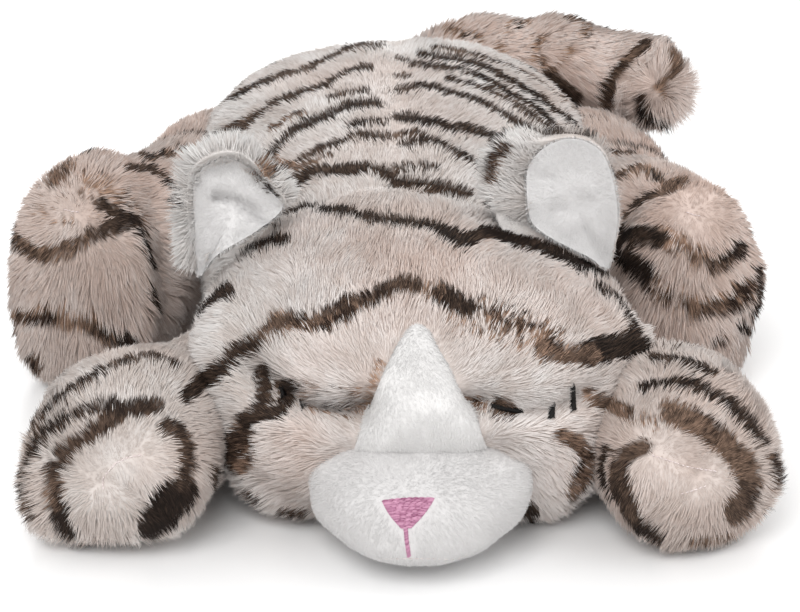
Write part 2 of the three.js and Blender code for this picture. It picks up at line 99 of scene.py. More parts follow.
# Forms of the bags, in millimetres
BODY = dict(
    path=[(-4, -58, 46), (-4, 178, 46)],
    widths=[72.5, 78.4, 90.2, 98, 92.1, 74.5],
    tops=[58.5, 63.8, 70.5, 75, 74.3, 60],
    bottoms=[46.5, 46.5],
    start_round=60, end_round=70, squareness=2.3, under=3,
)
HEAD = dict(
    path=[(5, -160, 52), (5, -12, 52)],
    widths=[83.7, 91, 91, 89.2, 80.1],
    tops=[45.2, 53.9, 58, 58, 55.7],
    bottoms=[52.5, 52.5],
    start_round=60, end_round=62, squareness=2, under=2.5,
)
MUZZLE = dict(
    path=[(5, -186, 22), (5, -114, 22)],
    widths=[40.3, 42, 42],
    tops=[26.9, 28, 28],
    bottoms=[22.5, 22.5],
    start_round=36, end_round=36, squareness=2.5, under=2.05,
)
TAIL_ROOT = np.array((-2.0, 150, 67))
TAIL_LENGTH = 140
TAIL_PATH = [(0, 0, 0), (0.16, 0.13, 0.12), (0.45, 0.17, 0.17), (0.74, 0.1, 0.15), (0.98, -0.02, 0.12)]
TAIL_HALF = [21, 23, 24, 25, 25]
TAIL = dict(
    path=[tuple(TAIL_ROOT + TAIL_LENGTH * np.array(share)) for share in TAIL_PATH],
    widths=TAIL_HALF, tops=TAIL_HALF, bottoms=TAIL_HALF,
    start_round=25, end_round=22, squareness=2, under=2,
)


def leg(start, splay, hand, reach, flatness, widths, heights):
    """A leg that lies on the floor, its middle line half its height up all along."""
    side = HANDS[hand]
    ahead = np.array((side * math.sin(splay), -math.cos(splay), 0))
    root = np.array((side * start[0], start[1], 0.0)) - ahead * widths[0]
    length = widths[0] + reach + flatness
    last = len(heights) - 1
    path = [
        tuple(root + ahead * length * step / last + np.array((0, 0, height - 0.5)))
        for step, height in enumerate(heights)
    ]
    return dict(
        path=path, widths=widths, tops=heights, bottoms=heights,
        start_round=widths[0], end_round=flatness, squareness=2, under=2,
    )


def front_leg(hand):
    """A front leg, which is as high as it is wide."""
    half = [31.2, 28.1, 31.2, 38, 38]
    return leg((70, -44), 0.41, hand, 107, 26, half, half)


def hind_leg(hand):
    """A hind leg, whose foot stands on its heel."""
    splay = {"left": 0.48, "right": 0.33}[hand]
    widths = [39, 42.1, 39, 35.9, 39]
    heights = [40.4, 44.4, 43.4, 47.5, 50.5]
    return leg((82, 112), splay, hand, 125, 16, widths, heights)


FORMS = {"body": BODY, "head": HEAD, "muzzle": MUZZLE, "tail": TAIL}
for hand in HANDS:
    FORMS[f"front_leg_{hand}"] = front_leg(hand)
    FORMS[f"hind_leg_{hand}"] = hind_leg(hand)
# Rings along each kind of bag, and points round each ring
GRIDS = {"body": (84, 104), "head": (104, 120), "muzzle": (48, 72), "tail": (56, 52),
         "front_leg": (60, 64), "hind_leg": (60, 64)}

# Stripes as seen in the picture: (width in mm, share of brown, share of dark hairs, pixels)
STRIPES = {
    "head": [
        (3.8, 0.1, 1, [(284, 213), (302, 205), (333, 207), (364, 213), (394, 217), (425, 221), (449, 230)]),
        (5.2, 0.1, 1, [(440, 226), (465, 238), (486, 231), (517, 237), (547, 246), (578, 260), (609, 272)]),
        (4.2, 0.1, 1, [(192, 286), (217, 264), (241, 248), (266, 239), (283, 236)]),
        (2.2, 0.2, 1, [(272, 223), (281, 214)]),
        (5.4, 0.1, 1, [(183, 330), (195, 313), (211, 298), (226, 288)]),
        (5.6, 0.1, 1, [(190, 394), (200, 384), (211, 374), (226, 357), (236, 347), (253, 340)]),
        (4.6, 0.3, 0.95, [(240, 344), (253, 338), (266, 328), (283, 317)]),
        (7, 0.6, 0.78, [(277, 318), (308, 320), (333, 312), (351, 303)]),
        (5.2, 0.3, 0.95, [(346, 306), (370, 294), (394, 283), (416, 283)]),
        (4.6, 0.9, 0.6, [(410, 282), (440, 289)]),
        (6.6, 0.15, 1, [(442, 290), (456, 298), (468, 306)]),
        (12.5, 0.9, 0.4, [(468, 310), (501, 318), (526, 328), (551, 342)]),
        (4.6, 0.5, 0.6, [(470, 308), (496, 313), (520, 322)]),
        (7, 0.4, 0.9, [(546, 344), (563, 352), (593, 353)]),
        (9, 0.05, 1, [(592, 351), (618, 345), (632, 345), (652, 350)]),
        (5.6, 0.12, 1, [(261, 372), (262, 392), (256, 409), (241, 421)]),
        (7, 0.4, 0.9, [(240, 422), (234, 438), (225, 454), (215, 466), (214, 480)]),
        (6, 0.75, 0.7, [(240, 444), (242, 458), (235, 468)]),
        (4.4, 0.1, 1, [(284, 384), (288, 395), (278, 408), (262, 413)]),
        (3.6, 0.3, 0.9, [(278, 384), (284, 396)]),
        (8.5, 0.9, 0.26, [(305, 396), (335, 400), (362, 402)]),
        (2.6, 0.9, 0.7, [(377, 360), (370, 384), (364, 412)]),
        (3, 0.85, 0.55, [(468, 399), (486, 403)]),
        (4.8, 0.3, 0.95, [(500, 405), (511, 409)]),
        (5.6, 0.75, 0.8, [(566, 436), (583, 448), (590, 464), (582, 484), (575, 498)]),
        (5.4, 0.3, 0.9, [(604, 401), (628, 411)]),
        (2.8, 0.8, 0.5, [(590, 392), (607, 401)]),
        (3.2, 0.2, 1, [(279, 515), (302, 518)]),
        (5.4, 0.1, 1, [(531, 512), (532, 527)]),
        (3, 0.1, 1, [(600, 282), (622, 300), (636, 322), (643, 340)]),
        (3.4, 0.5, 0.8, [(238, 494), (252, 505)]),
    ],
    "body": [
        (3, 0.2, 0.95, [(384, 41), (352, 45), (331, 55), (311, 65), (283, 74), (256, 83), (232, 96), (209, 110),
                        (196, 132), (190, 160)]),
        (2.8, 0.15, 0.95, [(369, 65), (345, 71), (325, 83), (300, 90), (276, 100), (249, 121), (222, 139),
                           (208, 160), (202, 190)]),
        (2.2, 0.2, 0.9, [(366, 88), (345, 90), (328, 96)]),
        (3.6, 0.1, 1, [(377, 101), (349, 103), (325, 114), (300, 124), (283, 138), (268, 152), (248, 176),
                       (240, 206)]),
        (2.3, 0.1, 0.95, [(388, 118), (366, 119), (345, 124)]),
        (2.6, 0.15, 0.95, [(389, 135), (366, 132), (342, 138), (318, 148), (297, 158)]),
        (4.2, 0.1, 1, [(391, 173), (373, 165), (345, 167), (318, 169), (300, 177), (276, 196), (262, 222)]),
        (2.3, 0.2, 0.9, [(264, 110), (236, 124), (204, 141)]),
        (3.6, 0.6, 0.9, [(270, 157), (288, 163)]),
        (2.2, 0.2, 0.9, [(369, 195), (386, 192)]),
        (1.9, 0.3, 0.8, [(330, 152), (300, 166), (288, 176)]),
        (1.7, 0.4, 0.7, [(300, 110), (284, 118), (270, 128)]),
        (2.8, 0.15, 1, [(421, 52), (455, 57), (483, 65), (507, 76), (535, 93), (555, 107), (576, 124), (590, 152),
                        (596, 186)]),
        (1.6, 0.3, 0.7, [(431, 45), (473, 52), (511, 65), (545, 83), (583, 114), (597, 138), (606, 168), (608, 200)]),
        (2.4, 0.15, 0.95, [(398, 57), (428, 64), (455, 67), (480, 74), (507, 90), (535, 107), (559, 128),
                           (574, 154), (580, 190)]),
        (2.7, 0.15, 0.95, [(398, 88), (421, 84), (449, 90), (473, 96), (500, 110), (524, 124), (541, 139),
                           (556, 166), (560, 200)]),
        (2.2, 0.2, 0.9, [(449, 78), (473, 83), (497, 93), (524, 107), (552, 127)]),
        (3.6, 0.1, 1, [(396, 115), (414, 115), (442, 122), (466, 127), (494, 135), (520, 156), (534, 190)]),
        (3.4, 0.1, 1, [(284, 213), (302, 205), (333, 207)]),
        (3, 0.1, 1, [(400, 143), (435, 139), (455, 148), (478, 161), (500, 182), (512, 214)]),
        (2.6, 0.1, 0.95, [(396, 165), (414, 162), (437, 165)]),
        (4.4, 0.1, 1, [(396, 183), (421, 179), (445, 182), (470, 190)]),
        (2.2, 0.2, 0.9, [(421, 195), (442, 188), (470, 194)]),
        (1.7, 0.3, 0.8, [(396, 74), (411, 74)]),
        (1.7, 0.3, 0.8, [(394, 135), (410, 130), (425, 133)]),
    ],
    "front_leg_left": [
        (5.4, 0.2, 0.97, [(55, 462), (60, 450), (82, 434), (110, 418), (129, 405), (156, 402)]),
        (5, 0.2, 1, [(168, 424), (178, 428), (186, 438), (189, 453), (190, 470), (187, 488)]),
        (11, 0.05, 1, [(184, 496), (173, 505), (163, 519), (155, 538)]),
        (5, 0.1, 1, [(190, 394), (200, 384), (208, 378)]),
        (5.6, 0.4, 0.92, [(48, 470), (50, 490), (53, 506)]),
        (6.4, 0.1, 1, [(54, 508), (58, 522), (66, 538)]),
        (3.8, 0.1, 1, [(16, 494), (17, 476), (25, 454), (41, 432), (63, 416), (91, 405), (116, 399)]),
        (3.2, 0.2, 0.95, [(15, 488), (19, 505), (26, 520)]),
        (2.2, 0.2, 0.9, [(22, 440), (36, 418), (60, 394), (91, 374), (118, 361), (151, 353), (179, 364)]),
        (3.6, 0.2, 0.95, [(217, 470), (212, 500), (196, 524)]),
        (2.4, 0.5, 0.7, [(70, 548), (100, 552), (140, 549)]),
    ],
    "front_leg_right": [
        (8.4, 0.4, 0.92, [(672, 409), (694, 417), (717, 433), (736, 450), (748, 467)]),
        (8.2, 0.3, 0.95, [(749, 467), (751, 487), (746, 505), (737, 516)]),
        (3.6, 0.1, 1, [(643, 384), (663, 380), (689, 381), (711, 388), (734, 401), (751, 418), (769, 440)]),
        (4.4, 0.3, 0.95, [(777, 456), (784, 476), (783, 500), (768, 517)]),
        (2.2, 0.15, 0.95, [(650, 354), (674, 357), (700, 364), (716, 371)]),
        (1.8, 0.2, 0.9, [(648, 334), (663, 341), (680, 343)]),
        (5, 0.5, 0.85, [(604, 400), (628, 411)]),
        (7, 0.22, 0.9, [(640, 443), (624, 455), (615, 472), (617, 493), (628, 514)]),
        (5.2, 0.1, 1, [(628, 514), (639, 531), (656, 544)]),
        (3.4, 0.1, 1, [(603, 448), (601, 478), (609, 503)]),
        (3, 0.8, 0.5, [(645, 414), (655, 424)]),
        (2.2, 0.4, 0.8, [(690, 545), (738, 541)]),
    ],
    "hind_leg_left": [
        (6.2, 0.45, 0.92, [(12, 242), (33, 254), (55, 257), (82, 246)]),
        (6.6, 0.15, 1, [(80, 246), (110, 230), (134, 221)]),
        (4.6, 0.15, 1, [(134, 222), (118, 212), (102, 203)]),
        (1.5, 0.1, 1, [(136, 224), (148, 244), (154, 268)]),
        (5, 0.7, 0.85, [(12, 318), (41, 320), (69, 325), (93, 331), (110, 342)]),
        (5.6, 0.2, 1, [(108, 340), (118, 346), (134, 347)]),
        (5.2, 0.3, 0.95, [(32, 362), (35, 374)]),
        (6.6, 0.5, 0.8, [(52, 176), (64, 162), (72, 154)]),
        (6, 0.8, 0.4, [(84, 178), (108, 184), (122, 196)]),
        (5, 0.7, 0.3, [(72, 186), (92, 190), (110, 200)]),
        (4, 0.7, 0.4, [(128, 196), (140, 214), (150, 232)]),
        (9, 0.9, 0.16, [(40, 206), (64, 214), (92, 208)]),
        (3, 0.9, 0.5, [(60, 198), (78, 202)]),
        (1.2, 0.1, 1, [(154, 290), (160, 312)]),
        (3.2, 0.2, 0.95, [(132, 166), (152, 168), (172, 182), (182, 192)]),
        (3.8, 0.5, 0.9, [(134, 150), (150, 156), (172, 152)]),
        (3.2, 0.2, 0.95, [(178, 196), (190, 210), (196, 240)]),
        (3, 0.2, 0.95, [(150, 128), (172, 138), (186, 146)]),
    ],
    "hind_leg_right": [
        (8.2, 0.1, 1, [(622, 236), (638, 238), (655, 241)]),
        (9, 0.85, 0.5, [(655, 241), (676, 247), (698, 259)]),
        (6, 0.3, 0.95, [(698, 260), (717, 269), (730, 262), (742, 252)]),
        (8.6, 0.1, 1, [(612, 254), (626, 264), (641, 276)]),
        (8, 0.8, 0.5, [(641, 277), (656, 291), (674, 306), (694, 314)]),
        (6.6, 0.7, 0.75, [(692, 313), (717, 311), (738, 303), (750, 291)]),
        (3.2, 0.15, 1, [(762, 272), (762, 296), (756, 322)]),
        (3.6, 0.2, 0.9, [(744, 330), (757, 334)]),
        (2, 0.4, 0.8, [(712, 350), (728, 342)]),
        (3.6, 0.6, 0.85, [(617, 175), (632, 168), (648, 167), (666, 181), (686, 177)]),
        (3.4, 0.3, 0.95, [(688, 176), (668, 188), (646, 197), (634, 206), (622, 216)]),
        (3.2, 0.3, 0.95, [(597, 147), (623, 151), (646, 147), (668, 150)]),
        (3.4, 0.4, 0.9, [(648, 128), (660, 138), (668, 150)]),
        (2.6, 0.3, 0.9, [(694, 167), (712, 166)]),
    ],
    "tail": [
        (6.4, 0.9, 0.5, [(446, 24), (462, 30), (478, 39)]),
        (4, 0.9, 0.5, [(508, 30), (518, 23), (530, 21)]),
        (4, 0.9, 0.45, [(503, 44), (505, 56)]),
        (3.6, 0.8, 0.6, [(546, 34), (538, 44), (541, 58), (552, 70)]),
        (3.6, 0.8, 0.6, [(566, 16), (580, 18), (590, 26), (586, 34)]),
        (3, 0.8, 0.6, [(572, 50), (568, 60), (556, 72)]),
        (6.4, 0.2, 0.95, [(550, 76), (562, 86), (578, 100)]),
        (4.6, 0.35, 0.92, [(648, 42), (636, 53), (624, 66), (612, 84), (609, 106)]),
        (4.4, 0.6, 0.85, [(673, 50), (680, 62), (668, 78), (654, 88)]),
        (4, 0.3, 0.95, [(636, 100), (640, 118), (654, 128), (668, 130)]),
        (3.4, 0.7, 0.7, [(664, 80), (672, 92), (668, 106)]),
    ],
    "ear_left": [
        (7, 0.85, 0.8, [(268, 160), (273, 168)]),
        (1.8, 0.4, 0.9, [(256, 174), (260, 179)]),
        (2, 0.2, 0.9, [(269, 188), (275, 195)]),
    ],
    "ear_right": [(5.5, 0.45, 0.92, [(488, 174), (486, 162), (491, 152), (500, 146)])],
}
# Rings of stripes on the sides that the picture does not show: (spacing, width) in mm
HIDDEN_STRIPES = {"body": (13, 3.2), "head": (25, 5), "tail": (26, 5), "front_leg": (21, 5),
                  "hind_leg": (25, 5.6), "ear": (17, 4.4)}

# Pile: length in mm, strands a square mm, lean from upright, tufts a square mm, pull to tufts, stray
PILES = {
    "body": (5.8, 1.64, 1.02, 0.09, 0.42, 0.14),
    "head": (9.4, 2.28, 1.22, 0.06, 0.36, 0.16),
    "tail": (9.4, 1.75, 1.0, 0.045, 0.5, 0.14),
    "front_leg": (8.6, 2.02, 1.16, 0.06, 0.34, 0.1),
    "hind_leg": (9.2, 1.72, 1.1, 0.055, 0.42, 0.12),
    "ear": (9.4, 3.0, 1.1, 0.16, 0.14, 0.2),
}
# Gathered middles of the soles, lines of pixels from which the hair fans out
SOLES = {
    "front_leg_left": [(138, 456), (116, 463), (105, 475), (104, 487)],
    "front_leg_right": [(656, 457), (676, 464), (692, 476), (704, 480)],
    "hind_leg_left": [(66, 211), (78, 213)],
    "hind_leg_right": [(687, 213), (699, 215)],
}
NOSE_MIDDLE = np.array((5.0, -176, 40))

NOSE_OUTLINE = [(382, 500), (408, 499), (434, 497), (424, 514), (411, 528), (410, 558), (401, 528), (390, 514)]
BRIDGE_OUTLINE = [
    (416, 326), (402, 339), (388, 364), (378, 386), (369.5, 408), (362, 430), (355, 452),
    (380, 457), (420, 459), (460, 457), (486, 451), (482, 436), (474, 418), (464, 402),
    (456, 384), (447, 364), (436, 346), (428, 332),
]
EAR_OUTLINES = {
    "left": [(202, 169), (213, 162), (225, 158.5), (239, 162), (250, 169), (266, 187), (283, 206), (275, 217),
             (262, 227), (252, 234), (240, 241), (226, 249), (214, 258), (206, 268), (200, 277), (197, 263),
             (195, 247), (195, 228), (193, 205), (195, 182)],
    "right": [(528, 168), (537, 154), (551, 144), (570, 138.5), (589, 143), (602, 153), (610, 170), (615, 190),
              (617.5, 208), (617, 228), (613, 246), (606.5, 268), (590, 258), (570, 248), (546, 235), (531, 221),
              (527, 195)],
}


# Maths of forms and patterns

# Smooth noises: (cell in mm, seed)
LUMPS, DIMPLES = (34, 11), (15, 12)
COMB_SWEEP, COMB_WAVE, EAR_WAVE = (26, 31), (8, 41), (5, 31)
PILE_PATCHES, EAR_PATCHES = (18, 51), (6, 52)
STRIPE_EDGE, STRIPE_WAVER, STRIPE_PATCHES = (2.4, 61), (7, 62), (2.6, 63)
RING_WAVER, RING_GAPS = (22, 64), (24, 65)
BRIDGE_SWELL = (20, 71)
BLUSH_DRIFT, BLUSH_SPECKS = (38, 81), (12, 82)
TONE_DRIFT, TONE_SPECKS, SKIN_TONE = (13, 91), (3.6, 92), (10, 5)
# A distance in mm beyond any on the toy
FAR_OFF = 1e3


def between(values, share):
    """A smooth line through evenly spaced values, read at shares of its length."""
    values = np.asarray(values, float)
    last = len(values) - 1
    place = np.clip(share, 0, 1) * last
    index = np.minimum(np.floor(place).astype(int), last - 1)
    part = place - index
    before, here = values[np.maximum(index - 1, 0)], values[index]
    there, after = values[index + 1], values[np.minimum(index + 2, last)]
    slope_here, slope_there = (there - before) / 2, (after - here) / 2
    return (
        (2 * here - 2 * there + slope_here + slope_there) * part**3
        + (3 * there - 3 * here - 2 * slope_here - slope_there) * part**2
        + slope_here * part
        + here
    )


def path_line(points, steps=48):
    """Many points on a smooth centripetal line through a few."""
    points = np.asarray(points, float)
    if len(points) == 2:
        return points[0] + np.linspace(0, 1, steps)[:, None] * (points[1] - points[0])
    full = np.vstack([2 * points[0] - points[1], points, 2 * points[-1] - points[-2]])
    found = []
    for index in range(1, len(full) - 2):
        a, b, c, d = full[index - 1 : index + 3]
        ta, tb, tc = (np.linalg.norm(q - p) ** 0.5 for p, q in ((a, b), (b, c), (c, d)))
        leave = ((b - a) / ta - (c - a) / (ta + tb) + (c - b) / tb) * tb
        arrive = ((c - b) / tb - (d - b) / (tb + tc) + (d - c) / tc) * tb
        t = np.linspace(0, 1, steps, endpoint=False)[:, None]
        found.append(
            b + leave * t + (3 * (c - b) - 2 * leave - arrive) * t**2 + (2 * (b - c) + leave + arrive) * t**3
        )
    return np.vstack([*found, full[-2:-1]])


def lengths_of(points):
    """How far along a line of points each of them lies."""
    return np.concatenate([[0], np.cumsum(norms(np.diff(points, axis=0)))])


def read_at(far, lengths, points):
    """Places at distances along a line of points."""
    return np.stack([np.interp(far, lengths, points[:, k]) for k in range(points.shape[1])], -1)


class Line:
    """A path with places and directions at distances along it."""

    def __init__(self, points):
        self.points = path_line(points)
        self.far = lengths_of(self.points)
        self.length = self.far[-1]

    def at(self, along):
        """Places and directions at distances along the path, carried on straight beyond its ends."""
        inside = np.clip(along, 0, self.length)
        step = self.length / 200
        behind, place, ahead = (
            read_at(np.clip(inside + move, 0, self.length), self.far, self.points) for move in (-step, 0, step)
        )
        run = ahead - behind
        run /= np.linalg.norm(run, axis=1, keepdims=True)
        return place + run * (along - inside)[:, None], run


def swelling(distance, radius):
    """How full a bag is near an end that is rounded to a radius, from 0 to 1."""
    return np.sqrt(1 - (1 - np.minimum(distance / radius, 1)) ** 2)


def stuffed(form, rings, sides, grow=0.0):
    """Rings of points of a stuffed bag, and the two points that close its ends."""
    line = Line(form["path"])
    total = line.length + 2 * grow
    distance = total * (1 - np.cos(np.pi * np.arange(1, rings) / rings)) / 2
    centre, run = line.at(distance - grow)
    share = np.clip((distance - grow) / line.length, 0, 1)
    swell = swelling(distance, form["start_round"] + grow) * swelling(total - distance, form["end_round"] + grow)
    across = np.cross(run, (0, 0, 1.0))
    across /= np.linalg.norm(across, axis=1, keepdims=True)
    rise = np.cross(across, run)
    angle = 2 * np.pi * np.arange(sides) / sides
    below = np.sin(angle) < -1e-9
    power = np.where(below, 2 / form["under"], 2 / form["squareness"])
    out = np.sign(np.cos(angle)) * np.abs(np.cos(angle)) ** power
    up = np.sign(np.sin(angle)) * np.abs(np.sin(angle)) ** power
    half_wide = (between(form["widths"], share) + grow) * swell
    half_top = (between(form["tops"], share) + grow) * swell
    half_low = (between(form["bottoms"], share) + grow) * swell
    half_high = np.where(below[None, :], half_low[:, None], half_top[:, None])
    points = (
        centre[:, None, :]
        + (half_wide[:, None] * out[None, :])[..., None] * across[:, None, :]
        + (half_high * up[None, :])[..., None] * rise[:, None, :]
    )
    ends = line.at(np.array([-grow, line.length + grow]))[0]
    return points, ends[0], ends[1]


NOISE_TABLE = 4096
NOISE_PRIMES = (73856093, 19349663, 83492791)


def lattice_noise(points, cell, seed):
    """Smooth noise from 0 to 1 that changes over about a cell."""
    table = np.random.RandomState(seed).rand(NOISE_TABLE)
    place = np.asarray(points, float) / cell
    base = np.floor(place).astype(np.int64)
    part = place - base
    part = part * part * (3 - 2 * part)
    total = np.zeros(len(place))
    for corner in range(8):
        step = np.array((corner & 1, (corner >> 1) & 1, corner >> 2))
        key = (base + step) @ np.array(NOISE_PRIMES)
        key = (key ^ (key >> 13)) & (NOISE_TABLE - 1)
        total += table[key] * np.prod(np.where(step == 1, part, 1 - part), axis=1)
    return total


def sway(points, cell, seed):
    """Smooth noise from -0.5 to 0.5."""
    return lattice_noise(points, cell, seed) - 0.5


def noise_vector(points, cell, seed):
    """Smooth noise from -1 to 1 on each axis."""
    return np.stack([lattice_noise(points, cell, seed + k) for k in range(3)], 1) * 2 - 1


def norms(rows):
    """How long each row of an array is."""
    return np.linalg.norm(rows, axis=1)


def unit(vectors):
    """Vectors made one long."""
    return vectors / np.maximum(np.linalg.norm(vectors, axis=-1, keepdims=True), 1e-9)


def smooth_between(low, high, value):
    """0 at low, 1 at high and a smooth step between; high may be the lesser."""
    share = np.clip((value - low) / (high - low), 0, 1)
    return share * share * (3 - 2 * share)


def bell(far, radius):
    """1 at no distance, falling smoothly to nothing past the radius."""
    return np.exp(-((far / radius) ** 2))


# The picture's pixels


def pixel_ray(pixel):
    """Direction from the camera through a pixel of the picture."""
    right = np.array((1.0, 0, 0))
    way = AHEAD * FOCAL_PIXELS + right * (pixel[0] - PICTURE[0] / 2) + UP * (PICTURE[1] / 2 - pixel[1])
    return way / np.linalg.norm(way)


def pixels_of(points):
    """Pixels where points in millimetres show."""
    away = np.asarray(points) - CAMERA_PLACE
    scale = away @ AHEAD
    x = PICTURE[0] / 2 + FOCAL_PIXELS * away[:, 0] / scale
    return np.stack([x, PICTURE[1] / 2 - FOCAL_PIXELS * (away @ UP) / scale], 1)


def flat(pixels):
    """Pixels as points of a flat space, between which distances are taken."""
    return np.column_stack([pixels, np.zeros(len(pixels))])


def on_plane(pixel, y):
    """Where a pixel's sight line meets the upright plane at y, in millimetres."""
    way = pixel_ray(pixel)
    return CAMERA_PLACE + way * (y - CAMERA_PLACE[1]) / way[1]


# Distances from the camera, in mm, at which the form nearest to a sight line is looked for
REACHES = range(850, 1400, 12)


def seen_on(tree, pixel):
    """Where a pixel's sight line meets a form, or comes nearest to it."""
    way = Vector(pixel_ray(pixel))
    start = Vector(CAMERA_PLACE)
    place = tree.ray_cast(start, way)[0]
    if place is not None:
        return np.array(place)
    tries = [tree.find_nearest(start + way * reach) for reach in REACHES]
    return np.array(min(tries, key=lambda found: found[3])[0])


def laid(tree, pixels):
    """Where each of some pixels is seen on a form."""
    return np.array([seen_on(tree, pixel) for pixel in pixels])


def traced(tree, pixels, step=5):
    """A line of pixels laid on a form, with many points so that it follows the form."""
    points = [pixels[0]]
    for start, end in zip(pixels, pixels[1:]):
        pieces = max(1, int(math.dist(start, end) / step))
        for piece in range(1, pieces + 1):
            share = piece / pieces
            points.append((start[0] + (end[0] - start[0]) * share, start[1] + (end[1] - start[1]) * share))
    return laid(tree, points)


def inside_outline(pixels, outline):
    """Which pixels lie inside a closed outline."""
    inside = np.zeros(len(pixels), bool)
    x, y = pixels[:, 0], pixels[:, 1]
    for (ax, ay), (bx, by) in zip(outline, outline[1:] + outline[:1]):
        crosses = (ay > y) != (by > y)
        slope = (bx - ax) / (by - ay) if by != ay else 0
        inside ^= crosses & (x < ax + (y - ay) * slope)
    return inside


def from_segment(points, start, end):
    """From the nearest place on a straight segment to each of the points."""
    run = end - start
    share = np.clip(((points - start) @ run) / max(run @ run, 1e-9), 0, 1)
    return points - start - share[:, None] * run


def away_from(points, line):
    """From the nearest place on a line to each of the points."""
    away = np.full(points.shape, FAR_OFF)
    for start, end in zip(line, line[1:]):
        tried = from_segment(points, start, end)
        nearer = (tried**2).sum(1) < (away**2).sum(1)
        away[nearer] = tried[nearer]
    return away


def line_distance(points, line, reach):
    """Distance of points from a line, exact up to reach."""
    best = np.full(len(points), FAR_OFF)
    low, high = line.min(0) - reach, line.max(0) + reach
    near = np.flatnonzero(np.all((points > low) & (points < high), axis=1))
    if len(near) == 0:
        return best
    if len(line) == 1:
        line = np.vstack([line, line + 1e-6])
    for start, end in zip(line, line[1:]):
        low, high = np.minimum(start, end) - reach, np.maximum(start, end) + reach
        close = near[np.all((points[near] > low) & (points[near] < high), axis=1)]
        if len(close):
            best[close] = np.minimum(best[close], norms(from_segment(points[close], start, end)))
    return best


# Pelts: skins with their hair


def tree_of(points, faces):
    """A search tree of faces."""
    return BVHTree.FromPolygons([tuple(p) for p in points], faces, epsilon=0.0)


def ring_faces(rings, sides):
    """Faces over rings of points and two end points, outwards; the start point is 0 and the end point last."""
    side = np.arange(sides)
    then = (side + 1) % sides
    last = 1 + (rings - 1) * sides
    end = 1 + rings * sides
    faces = [(0, int(1 + a), int(1 + b)) for a, b in zip(side, then)]
    for ring in range(rings - 1):
        low, high = 1 + ring * sides, 1 + (ring + 1) * sides
        faces += [(int(low + a), int(high + a), int(high + b), int(low + b)) for a, b in zip(side, then)]
    faces += [(end, int(last + b), int(last + a)) for a, b in zip(side, then)]
    return faces


def vertex_normals(points, faces):
    """Smooth normals at the points of a mesh."""
    mesh = bpy.data.meshes.new("measure")
    mesh.from_pydata([tuple(p) for p in points], [], faces)
    normals = np.zeros(len(points) * 3, np.float32)
    mesh.vertex_normals.foreach_get("vector", normals)
    bpy.data.meshes.remove(mesh)
    return normals.reshape(-1, 3).astype(float)


# What is pressed into or raised from a bag: (raise in mm, radius in mm, pixels); a single pixel is a dome
SCULPT = {
    "head": [
        (6.5, 24, [(322, 356)]), (6.5, 26, [(536, 362)]), (2.5, 22, [(425, 262)]),
        (6, 24, [(302, 226), (340, 218)]), (3.5, 20, [(395, 212), (430, 214)]), (6, 18, [(262, 494)]),
        (5, 18, [(560, 498)]), (5.5, 12, [(634, 352)]), (5, 13, [(300, 514)]), (5, 12, [(536, 516)]),
        (-2, 11, [(425, 316)]), (4.5, 22, [(290, 462)]), (4.5, 20, [(578, 462)]),
        (-11, 5.5, [(258, 376), (272, 388), (292, 402), (318, 411), (345, 415), (368, 408)]),
        (-7, 5, [(468, 402), (486, 407), (508, 411), (532, 411), (556, 404), (578, 398)]),
        (-3, 6, [(374, 404), (362, 430), (352, 452)]), (-3, 6, [(474, 404), (484, 430), (490, 452)]),
    ],
    "body": [(-2.2, 3.4, [(386, 38), (388, 80), (391, 130), (394, 200)])],
    "front_leg_left": [(-4, 8, [(138, 456), (116, 463), (105, 475)]), (6, 14, [(28, 512)]), (3, 12, [(52, 534)]),
                       (-3.5, 14, [(34, 408)])],
    "front_leg_right": [(-4, 9, [(656, 457), (676, 464), (692, 476)]), (-5.5, 16, [(762, 392), (778, 424)])],
    "hind_leg_left": [(-4, 9, [(56, 213), (71, 212), (88, 207)]), (7, 15, [(70, 164), (84, 160)]),
                      (-2.5, 20, [(10, 262)]), (4, 13, [(34, 370)]), (-4, 8, [(150, 200), (158, 240), (162, 290)])],
    "hind_leg_right": [(-4, 9, [(680, 216), (693, 214)]), (-4, 16, [(768, 236)]), (-3, 16, [(760, 322)]),
                       (-4, 9, [(628, 205), (618, 245), (622, 300)])],
    "tail": [(-4, 9, [(660, 104)]), (6, 18, [(440, 34), (470, 26)]), (4, 14, [(690, 92)]),
             (-2.5, 12, [(606, 26), (650, 40)]), (-2.5, 8, [(600, 60), (604, 100)]),
             (-2.5, 8, [(520, 20), (528, 62)])],
    "muzzle": [(-3.6, 15, [(322, 536), (352, 560), (392, 572), (440, 572), (482, 562), (514, 536)]),
               (3.4, 9, [(323, 462)]), (3.4, 10, [(515, 461)]), (3, 12, [(523, 490)])],
}
# How many radii away a dome or dent ends
DOME_REACH = 2.6
# How far a bag's skin lies inside the outer surface of its fur, in mm
SKIN_INSET = {"body": -2, "head": -2.5, "tail": -6, "muzzle": 0, "front_leg": -3.6, "hind_leg": -3.6}
# How high the filling's lumps stand, in mm
LUMP_HEIGHT = {"body": 2.2, "head": 1.6, "muzzle": 0.7, "tail": 2.2, "front_leg": 2.0, "hind_leg": 2.0}

# How much wider the stripes are at the tips of the pile, which fans out, than at its roots
STRIPE_SPREAD = {"body": 1.13, "head": 1.2, "tail": 1.15, "front_leg": 1.2, "hind_leg": 1.2, "ear": 1.2}
# Warmth of the pale pile, from cool white to blush
# The left ear's cool value whitens its pile: painted light that stands in for the light from behind catching the
# ear's rim.
WARMTH = {"body": 0.1, "head": 0.14, "tail": 0.84, "front_leg_left": 0.2, "front_leg_right": 0.36,
          "hind_leg_left": 0.8, "hind_leg_right": 0.72, "ear_left": -0.55, "ear_right": 0.07}
